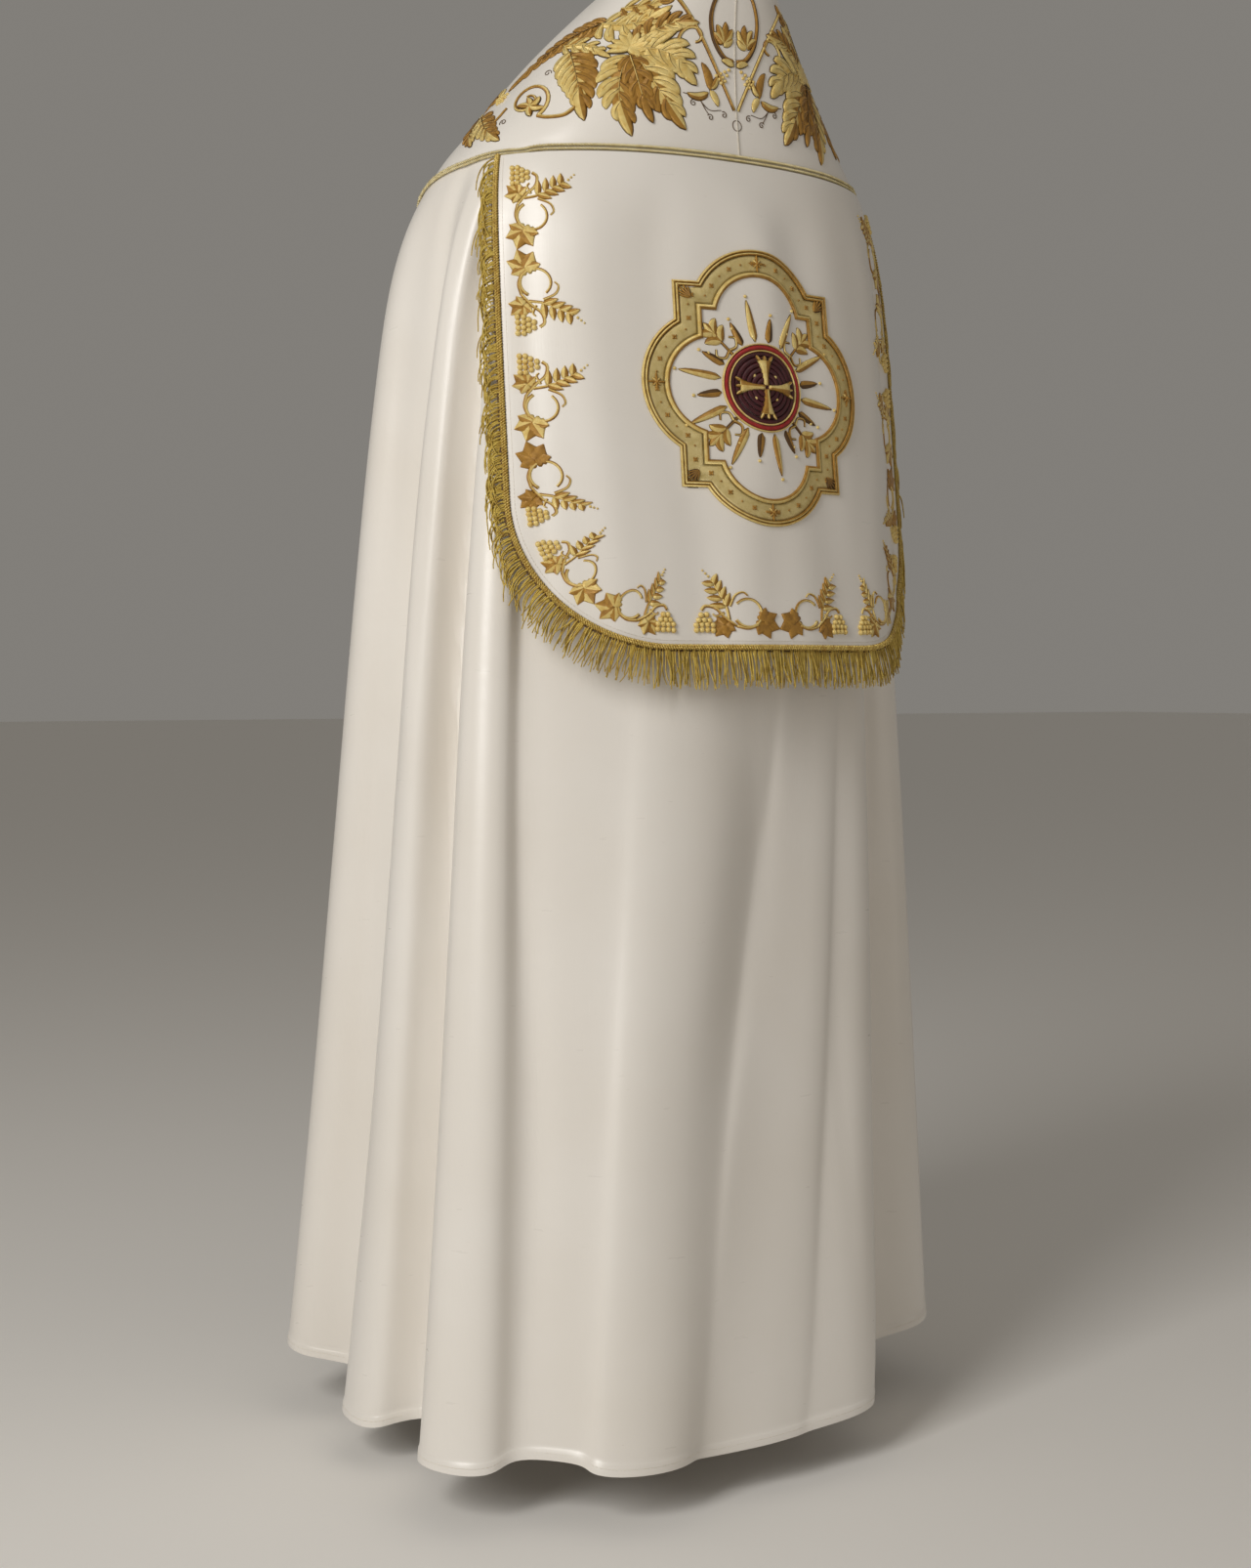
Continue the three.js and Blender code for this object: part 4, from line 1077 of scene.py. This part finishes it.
def makeEmblem():
    look, bag, knots = emblemLook, newBag(), []
    roundel, ring = look["roundel"], look["ring"]
    centre = np.array([0, medallionLook["drop"]], float)
    turn = np.linspace(0, 2 * math.pi, 60, endpoint=False)
    circle = np.stack([np.cos(turn), np.sin(turn)], -1)
    putDisc(bag, centre, roundel, look["dome"], maroon)
    for start, end, shade in ((ring + 1.6, ring, bright), (ring, roundel + 1.4, crimson),
                              (roundel + 1.4, roundel - 0.4, bright)):
        putBand(bag, centre + circle * start, centre + circle * end, 2.0, shade, closed=True, base=0.2)
    # the cross, with knots between its arms
    f = np.linspace(0, 1, 9)
    for k in range(4):
        way = pointing(90 * k)
        side = leftOf(way)
        arm = centre + way * (look["armRoot"] + look["armReach"] * f)[:, None]
        putStroke(bag, arm, 5.0 + 9.5 * f ** 2.4, bright, antique, height=1.6, base=2.2)
        for tilt in (-0.5, 0.0, 0.5):
            root = centre + way * 24 + side * 9 * tilt
            tip = centre + way * 29.5 + side * 16 * tilt
            putBlade(bag, root, tip, 0.0, 2.6, antique, bright, count=6, base=2.3)
        diagonal = (way + side) / math.sqrt(2)
        knots.append((*(centre + diagonal * 15), 2.2))
        knots += [(*(centre + diagonal * 22 + (way - side) * spread), 1.2) for spread in (-3.2, 3.2)]
    # the rays, left out where a sprig stands
    for k in range(look["rays"]):
        angle = 360 * (k + 0.5) / look["rays"]
        if abs(angle % 90 - 45) < look["sprigGap"]:
            continue
        way = pointing(angle)
        reach = look["longRay"] if k % 2 else look["shortRay"]
        shades = (bright, antique) if k % 2 else (antique, outline)
        putBlade(bag, centre + way * look["rayRoot"], centre + way * reach, 0.0, look["rayWidth"], *shades,
                 count=8, full=0.3)
        knots.append((*(centre + way * (reach + 3.4)), 1.6))
    # the sprigs: a stem, two curls, and leaves on both sides
    for k in range(4):
        way = pointing(45 + 90 * k)
        side = leftOf(way)
        root = centre + way * look["sprigRoot"]
        tip = centre + way * look["sprigTip"]
        putStem(bag, [centre + way * (ring + 2), root, tip], (3.0, 1.8), antique, outline)
        for turnBy in (-1, 1):
            beside = side * turnBy
            curl = root + beside * 13 + way * 4
            putStem(bag, [root, root + beside * 8 - way * 2, curl, curl + way * 5 - beside * 4], (2.4, 1.3))
            for reach, spread in ((18, 13), (27, 12)):
                leaf = root + way * (reach - 8)
                putBlade(bag, leaf, leaf + way * 10 + beside * spread, -0.25 * turnBy, 9.0)
            knots.append((*(root + beside * 17 + way * 12), 1.5))
        putBlade(bag, tip - way * 12, tip + way * 6, 0.0, 8.5)
    return layBag(bag, "emblem_embroidery", onShield, threadLooks), knots


# Vine border: a motif from a grape bunch to a leaf, turned round at every other place along the edge.
borderLook = dict(motifs=7, start=5.0, inset=5.0, grape=2.7, drawnLength=88, darkMotifs=(3, 6))
# The lobes of a vine leaf: where each points in degrees, its reach and its width; and the width's shape.
vineLeaf = dict(
    lobes=((98, 0.74, 0.74), (-98, 0.74, 0.74), (48, 0.9, 0.78), (-48, 0.9, 0.78), (0, 1.0, 0.82)),
    swell=(0.6, 1.0, 1.05, 0.74, 0.9, 0.6, 0.34, 0.05),
)


def putVineLeaf(bag, place, centre, size, turn, shades):
    centre = np.array(centre, float)
    swell = np.array(vineLeaf["swell"])
    for lobe, reach, wide in vineLeaf["lobes"]:
        tip = centre + size * reach * pointing(turn + lobe)
        left, right = sidesOf(np.linspace(centre, tip, len(swell)), size * wide * swell)
        side = 1 if lobe > 0 else -1
        putBand(bag, place(left), place(right), 1.0 + 0.12 * side, *shades[::side], base=0.3 + 0.1 * side)


# Half the border, drawn as along and inwards from the shield's edge.
def makeBorder():
    look, bag, knots = borderLook, newBag(), []
    edge, gone = evenEdge(1201)
    half = gone[-1] / 2
    step = (half - look["start"]) / look["motifs"]
    chance = np.random.default_rng(8)
    for k in range(look["motifs"]):
        start = look["start"] + k * step
        flip = k % 2 == 1

        def place(local):
            local = np.atleast_2d(np.asarray(local, float))
            along = local[:, 0] / look["drawnLength"] * step
            along = start + (step - along if flip else along)
            at = [np.interp(along, gone, edge[:, n]) for n in range(3)]
            inwards = local[:, 1] + look["inset"]
            return np.stack([at[0] - inwards * np.cos(at[2]), at[1] - inwards * np.sin(at[2])], -1)

        def stem(places, width, shade=bright, otherShade=antique, count=12):
            f = np.linspace(0, 1, count)
            left, right = sidesOf(through(places, count), width[0] + (width[1] - width[0]) * f)
            putBand(bag, place(left), place(right), 1.0, shade, otherShade, base=0.2)

        leafShades = (antique, antique) if k in look["darkMotifs"] else (bright, antique)
        for row in range(4):
            for n in range(5 - row - (row == 0)):
                across = 8 + 5.0 * n + 2.5 * row + (row == 0) * 2.5
                knots.append((*place((across, 8 + 4.6 * row + chance.uniform(-0.4, 0.4)))[0], look["grape"]))
        stem([(16, 26), (20, 30), (29, 28), (36, 20), (46, 12)], (3.2, 2.8))
        ring = np.radians(np.linspace(-150, 140, 15))
        stem(np.stack([57 + 13 * np.cos(ring), 24 + 13 * np.sin(ring)], -1), (3.4, 2.4), count=24)
        stem([(46, 12), (56, 10), (66, 13)], (3.0, 2.6))
        stem([(40, 18), (38, 30), (33, 42), (26, 54)], (3.0, 1.8))
        for n in range(4):
            f = n / 3
            root = np.array([37 - 9 * f, 30 + 20 * f])
            for side in (-1, 1):
                tip = root + np.array([-4.0 - 8.0 * side, 6.0 - 5.0 * side]) * (1.1 - 0.25 * f)
                left, right = sidesOf(np.linspace(root, tip, 5), 6.4 * np.array([0.6, 1, 1, 0.7, 0.12]))
                putBand(bag, place(left), place(right), 1.1, bright, antique, base=0.3 + 0.05 * n)
        for n in range(3):
            knots.append((*place((24 - 2.4 * n, 57 + 2.6 * n))[0], 1.3 - 0.15 * n))
        stem([(41, 30), (46, 40), (53, 43), (57, 40)], (2.6, 1.6))
        stem([(36, 24), (29, 21), (26, 23)], (2.6, 1.6))
        putVineLeaf(bag, place, (36, 13), 13.5, -130, leafShades)
        putVineLeaf(bag, place, (71, 16), 18.0, -20, leafShades)
    mirrorBag(bag)
    knots += [(-across, down, size) for across, down, size in knots]
    return layBag(bag, "vine_border", onShield, threadLooks), knots


# Yoke: flat places there are across from the middle of the back and up from the seam. The tables hold
# lengths walked over the smooth form: round it at each level, and up from the seam at each angle.
def makeYokeTables():
    angle = np.linspace(0, 130, 131)
    level = np.linspace(0, 5.6, 57)
    ring = drape(angle[None, :], level[:, None], 0, True)
    ring[..., 0] -= ringValue("sway", level)[:, None]
    arc = walked(ring, 1)
    share = np.linspace(0, 1, 61)
    seam = seamLevel(angle)
    up = walked(drape(angle[:, None], seam[:, None] * (1 - share[None, :]), 0, True), 1)
    return angle, level, arc, share, up


yokeTables = makeYokeTables()


# Reads a table backwards: in the row at a place, the column value where the row reaches what is wanted.
def readBack(table, row, columns, wanted):
    row = np.clip(row, 0, len(table) - 1.001)
    low = row.astype(int)
    f = row - low
    found = np.zeros_like(wanted)
    for k in np.unique(low):
        pick = low == k
        a, b = (np.interp(wanted[pick], table[n], columns) for n in (k, k + 1))
        found[pick] = a * (1 - f[pick]) + b * f[pick]
    return found


def onYoke(across, up):
    angles, levels, arc, share, height = yokeTables
    side, reach = np.sign(across), np.abs(across)
    angle = np.interp(reach, arc[int(form["seamBack"] / levels[1])], angles)
    for _ in range(5):
        level = seamLevel(angle) * (1 - readBack(height, angle, share, up))
        angle = readBack(arc, level / levels[1], angles, reach)
    return onDrape(np.where(side < 0, -angle, angle), np.clip(level, 0.03, 5.5))


# The yoke. Leaves of the drooping cluster and over the arm: spine from root to tip, size, number of lobes,
# the looks of the two halves, and the height above the cloth. Rosette, flower and palmette: where each
# lies, how far its blades reach, and where they point in degrees.
yokeLook = dict(
    cluster=(
        ([(106, 98), (114, 76), (117, 52), (112, 24)], 22, 5, (bright, antique), 0.0),
        ([(100, 100), (88, 76), (76, 54), (62, 32)], 22, 5, (antique, bright), 0.3),
        ([(98, 104), (80, 102), (62, 92), (48, 74)], 21, 5, (bright, bright), 0.6),
        ([(99, 112), (82, 123), (64, 129), (46, 128)], 16, 5, (bright, antique), 0.3),
        ([(104, 98), (100, 78), (96, 56), (90, 34)], 15, 4, (antique, antique), 0.9),
    ),
    arm=(
        ([(286, 76), (272, 56), (258, 38), (244, 24)], 18, 5, (bright, antique), 0.0),
        ([(290, 76), (294, 58), (290, 42), (282, 28)], 15, 4, (antique, bright), 0.3),
    ),
    rosette=(106, 110), rosetteReach=(20, 17), rosetteStart=96, rosetteTurn=27,
    flower=(204, 56), flowerReach=(17, 14), flowerAngles=(20, 75, 130, 200, 265),
    palmette=(13, 108), palmetteBlades=((40, 15), (68, 19), (96, 21), (124, 18), (152, 12)),
    darkBlade=96, bead=1.7, armBead=1.8, ringRadius=4.8, ringDown=33,
)


def putLeaves(bag, leaves):
    for spine, size, lobes, shades, base in leaves:
        putAcanthus(bag, spine, size, lobes=lobes, shades=shades, base=base)


# Strapwork rising from the middle seam, with a tied palmette and beads inside.
def putStrapwork(bag, knots):
    look = yokeLook
    putStem(bag, [(2, 47), (22, 86), (42, 126), (62, 164)], (3.2, 3.4), count=24)
    putStem(bag, [(2, 92), (13, 96), (23, 112), (26, 134), (20, 154), (8, 166)], (5.4, 3.4), antique,
            outline, count=26)
    putScroll(bag, (43, 112), 19, -70, 0.9, (3.8, 2.4))
    root = np.array(look["palmette"])
    for angle, reach in look["palmetteBlades"]:
        shade = antique if angle == look["darkBlade"] else bright
        putBlade(bag, root, root + pointing(angle) * reach, 0.12, 8.5, shade, antique, base=0.2,
                 broadRoot=0.1)
    putBlade(bag, (1.5, 88), (15, 92), 0.2, 6.5, bright, bright, base=0.6)
    putBlade(bag, (28, 62), (36, 88), 0.2, 9.0, antique, antique)
    putBlade(bag, (28, 62), (20, 48), -0.2, 7.5, bright, bright)
    putBlade(bag, (30, 60), (52, 58), -0.35, 7.5, base=0.2)
    putBlade(bag, (27, 64), (20, 76), 0.2, 6.0, base=0.3)
    for row in range(3):
        knots += [(7 + 4.6 * n + 2.2 * row, 84 - 5.6 * row - 2.4 * n, look["bead"]) for n in range(4 - row)]


# Thin dark tendrils by the seam, round a small ring on it.
def putTendrils(bag):
    turn = np.linspace(0, math.pi, 11)
    radius = yokeLook["ringRadius"]
    ring = np.stack([0.01 + radius * np.sin(turn), yokeLook["ringDown"] + radius * np.cos(turn)], -1)
    putStroke(bag, ring, 0.8, outline, height=0.6, edge=False)
    for places in ([(56, 58), (42, 54), (30, 44), (17, 45)], [(38, 51), (34, 44), (31, 40)]):
        putStem(bag, places, (0.8, 0.6), outline, outline, edge=False)
    for centre, start, turns in (((14, 41), 60, 1.2), ((29, 37), 30, 1.2), ((46, 49), 90, -1.2)):
        putScroll(bag, centre, 3.4, start, turns, (0.8, 0.6), outline, outline, edge=False)


# The drooping cluster of leaves round a rosette.
def putCluster(bag):
    look = yokeLook
    putLeaves(bag, look["cluster"])
    for spread in range(-4, 6):
        way = pointing(look["rosetteStart"] + look["rosetteTurn"] * spread)
        tip = look["rosette"] + way * look["rosetteReach"]
        putBlade(bag, (104, 106), tip, 0.1, 8.5, bright, bright, base=1.2 + 0.1 * (spread % 2),
                 broadRoot=0.1)
    putScroll(bag, (103, 104), 7.5, 20, 0.8, (5.0, 3.4))


# The leaf that falls from the shoulder stem, beside an open scroll with a flower.
def putFallingLeaf(bag):
    look = yokeLook
    putAcanthus(bag, [(164, 122), (158, 98), (154, 72), (152, 40)], 22, lobes=6)
    putScroll(bag, (208, 66), 27, -120, -1.45, (4.8, 2.6))
    putStem(bag, [(158, 46), (170, 38), (186, 38), (196, 42)], (4.2, 4.8))
    for angle in look["flowerAngles"]:
        tip = look["flower"] + pointing(angle) * look["flowerReach"]
        putBlade(bag, look["flower"], tip, 0.2, 8.0, base=0.8, broadRoot=0.1)
    for centre, start, turns in (((188, 100), 200, -1.2), ((236, 44), -30, 1.3)):
        putScroll(bag, centre, 5.0, start, turns, (0.9, 0.7), outline, outline, edge=False)


# Long leaves sweeping over the shoulder.
def putShoulderLeaves(bag):
    putAcanthus(bag, [(126, 152), (160, 148), (200, 134), (240, 104)], 17, lobes=8, splay=(40, 16),
                shades=(antique, antique))
    putAcanthus(bag, [(172, 134), (156, 128), (140, 118), (126, 104)], 12, shades=(bright, bright),
                base=0.6)
    putAcanthus(bag, [(132, 152), (112, 140), (92, 138), (72, 146)], 18, lobes=5, splay=(60, 24),
                shades=(bright, bright))
    putAcanthus(bag, [(112, 166), (94, 160), (76, 158), (60, 166)], 14, shades=(antique, bright))
    putScroll(bag, (98, 148), 9, 150, 1.3, (3.0, 1.6))


# Small leaves, a scroll and a bunch of beads over the arm.
def putArmLeaves(bag, knots):
    putStem(bag, [(236, 66), (252, 50), (270, 52), (284, 66)], (3.4, 3.8))
    putLeaves(bag, yokeLook["arm"])
    putScroll(bag, (308, 84), 15, -150, -1.4, (3.6, 2.0))
    putAcanthus(bag, [(262, 98), (276, 108), (292, 110), (310, 106)], 12, splay=(56, 24))
    for row in range(3):
        knots += [(246 + 4.8 * n + 2.2 * row, 94 - 4.8 * row, yokeLook["armBead"]) for n in range(5 - row)]


def makeYokeEmbroidery():
    bag, knots = newBag(), []
    putStrapwork(bag, knots)
    putTendrils(bag)
    putCluster(bag)
    putFallingLeaf(bag)
    putShoulderLeaves(bag)
    putArmLeaves(bag, knots)
    mirrorBag(bag)
    knots += [(-across, up, size) for across, up, size in knots]
    return layBag(bag, "yoke_embroidery", onYoke, threadLooks), knots


medallion, medallionKnots = makeMedallion()
emblem, emblemKnots = makeEmblem()
border, borderKnots = makeBorder()
yoke, yokeKnots = makeYokeEmbroidery()
shieldKnots = makeKnots("shield_knots", emblemKnots + borderKnots, onShield, goldBright)
frameKnots = makeKnots("medallion_knots", medallionKnots, onShield, goldAntique, raised=1.3)
shoulderKnots = makeKnots("yoke_knots", yokeKnots, onYoke, goldBright)
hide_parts("medallion_frame")
for piece in (medallion, emblem, border, yoke, shieldKnots, frameKnots, shoulderKnots):
    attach(piece, "root")
    print(piece.name, sum(len(face.vertices) - 2 for face in piece.data.polygons), "triangles")


# Morse: the plain cloth tab across the breast.
morseLook = dict(width=118, top=4.12, bottom=4.84, stand=0.38, wall=3.0, across=40, down=22)


def makeMorse():
    look = morseLook
    level = np.linspace(look["top"], look["bottom"], look["down"])[None, :]
    reach = (look["width"] / 2 / ringValue("side", level)) ** (form["squareness"] / 2)
    half = np.degrees(np.arcsin(reach))
    share = np.linspace(-1, 1, look["across"])[:, None]
    points, normals = onDrape(180 - half * share, np.broadcast_to(level, (look["across"], look["down"])))
    edge = np.minimum(1 - np.abs(share), 1 - np.abs(np.linspace(-1, 1, look["down"]))[None, :] * 0.98)
    lift = look["stand"] + look["wall"] * (0.72 + 0.28 * smoothStep(0, 0.12, edge))
    piece = wallPiece("morse_cloth", points, normals, cutUv(points), -look["stand"], [satin], lift)
    cut = cutSize(points)
    print("morse: %.3f by %.3f m, area %.4f m2" % cut)
    return piece, cut


morse, morseCut = makeMorse()
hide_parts("morse")


# Sewing: rows of short stitches along the hem and the shield's edge.
sewingLook = dict(stitch=2.3, pitch=3.4, radius=0.26, hemInset=10.5, hemReach=137.5, hemStand=0.6,
                  shieldInset=3.6, shieldStand=0.12)


def stitchesAlong(points, normals, stand):
    look = sewingLook
    gone = walked(points, 0)
    starts = np.arange(look["pitch"], gone[-1] - look["pitch"], look["pitch"])
    lifted = points + normals * stand
    ends = [np.stack([np.interp(starts + shift, gone, lifted[:, k]) for k in range(3)], -1)
            for shift in (0, look["stitch"] / 2, look["stitch"])]
    return np.stack(ends, 1)


def makeSewing():
    look = sewingLook
    angle = np.linspace(-look["hemReach"], look["hemReach"], 900)
    hemLevel = form["hemLevel"] - look["hemInset"] / 250
    points, normals = onDrape(angle, np.full_like(angle, hemLevel))
    rows = [stitchesAlong(points, normals, look["hemStand"])]
    edge, _ = evenEdge(700)
    across = edge[:, 0] - look["shieldInset"] * np.cos(edge[:, 2])
    down = edge[:, 1] - look["shieldInset"] * np.sin(edge[:, 2])
    rows.append(stitchesAlong(*onShield(across, down), look["shieldStand"]))
    return growAlong("sewing", np.concatenate(rows), strandTree, radius=look["radius"] / 1000, tipShare=1.0,
                     material=sewingThread)


# Middle cord: a fine ivory cord over the yoke's middle seam.
middleCordLook = dict(plyRadius=0.55, layLength=4.6, step=1.4, stand=0.25, top=0.06, foot=3.84)


def makeMiddleCord():
    look = middleCordLook
    level = np.linspace(look["top"], look["foot"], 150)
    points, normals = onDrape(np.zeros_like(level), level)
    return growAlong("middle_seam_cord", [points + normals * look["stand"]], cordTree,
                     plyRadius=look["plyRadius"] / 1000, layLength=look["layLength"] / 1000,
                     step=look["step"] / 1000, material=sewingThread)


sewing = makeSewing()
middleCord = makeMiddleCord()


for piece, slotName in ((morse, "satin"), (sewing, "satin"), (middleCord, "pale_cord")):
    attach(piece, "root")
print("embroidery and sewing made")


# Camera, floor and light. The camera looks level across the floor, its picture shifted a little downwards.
view = dict(turn=32, distance=2.15, lateral=0.0706, height=-0.697, focal=2283, pixelsHigh=1605, horizon=700,
            sensor=36)
room = dict(floorZ=-1.41, floorSize=40, floorColour="#efece7", floorRoughness=0.8, air="#dcd7cf",
            airStrength=0.31)
lamps = dict(
    key=dict(place=(3.0, 1.3, 0.9), aim=(0, 0, -0.6), size=(1.2, 2.2), power=82, tint="#fffdfa"),
    fill=dict(place=(-2.2, 3.0, 0.2), aim=(0, 0, -0.7), size=(2.0, 2.4), power=9, tint="#fff4e8"),
)


def makeCamera():
    camera = bpy.data.cameras.new("camera")
    camera.sensor_fit = "VERTICAL"
    camera.sensor_height = view["sensor"]
    camera.lens = view["focal"] / view["pixelsHigh"] * view["sensor"]
    camera.shift_y = (view["horizon"] - view["pixelsHigh"] / 2) / view["pixelsHigh"]
    holder = bpy.data.objects.new("camera", camera)
    turn = math.radians(view["turn"])
    away = (math.sin(turn), math.cos(turn))
    right = (-math.cos(turn), math.sin(turn))
    holder.location = (away[0] * view["distance"] - right[0] * view["lateral"],
                       away[1] * view["distance"] - right[1] * view["lateral"], view["height"])
    holder.rotation_euler = (math.radians(90), 0, math.radians(180 - view["turn"]))
    bpy.context.scene.collection.objects.link(holder)
    bpy.context.scene.camera = holder


# Pale painted floor: an even coat with hardly any gloss.
def makeFloor():
    size, height = room["floorSize"], room["floorZ"]
    mesh = bpy.data.meshes.new("floor")
    corners = [(x * size, y * size, height) for x, y in ((-1, -1), (1, -1), (1, 1), (-1, 1))]
    mesh.from_pydata(corners, [], [(0, 1, 2, 3)])
    material, tree = startMaterial("palePaintedFloor")
    finishMaterial(tree, addNode(tree, "ShaderNodeBsdfPrincipled", {
        "Base Color": colour(room["floorColour"]), "Roughness": room["floorRoughness"]}))
    mesh.materials.append(material)
    floor = bpy.data.objects.new("floor", mesh)
    bpy.context.scene.collection.objects.link(floor)
    return floor


def addLamp(name, place, aim, size, power, tint):
    light = bpy.data.lights.new(name, "AREA")
    light.shape = "RECTANGLE"
    light.size, light.size_y = size
    light.energy = power
    light.color = colour(tint)[:3]
    holder = bpy.data.objects.new(name, light)
    direction = np.array(aim, float) - np.array(place, float)
    holder.location = place
    holder.rotation_euler = (math.atan2(math.hypot(direction[0], direction[1]), -direction[2]), 0,
                             math.atan2(direction[1], direction[0]) - math.pi / 2)
    bpy.context.scene.collection.objects.link(holder)


def makeAir():
    world = bpy.data.worlds.new("studio")
    world.use_nodes = True
    background = world.node_tree.nodes["Background"]
    background.inputs["Color"].default_value = colour(room["air"])
    background.inputs["Strength"].default_value = room["airStrength"]
    bpy.context.scene.world = world


makeCamera()
floor = makeFloor()
for name, lamp in lamps.items():
    addLamp(name, **lamp)
makeAir()
bpy.context.scene.view_settings.view_transform = "Standard"
print("camera, floor and light set")

print("done")
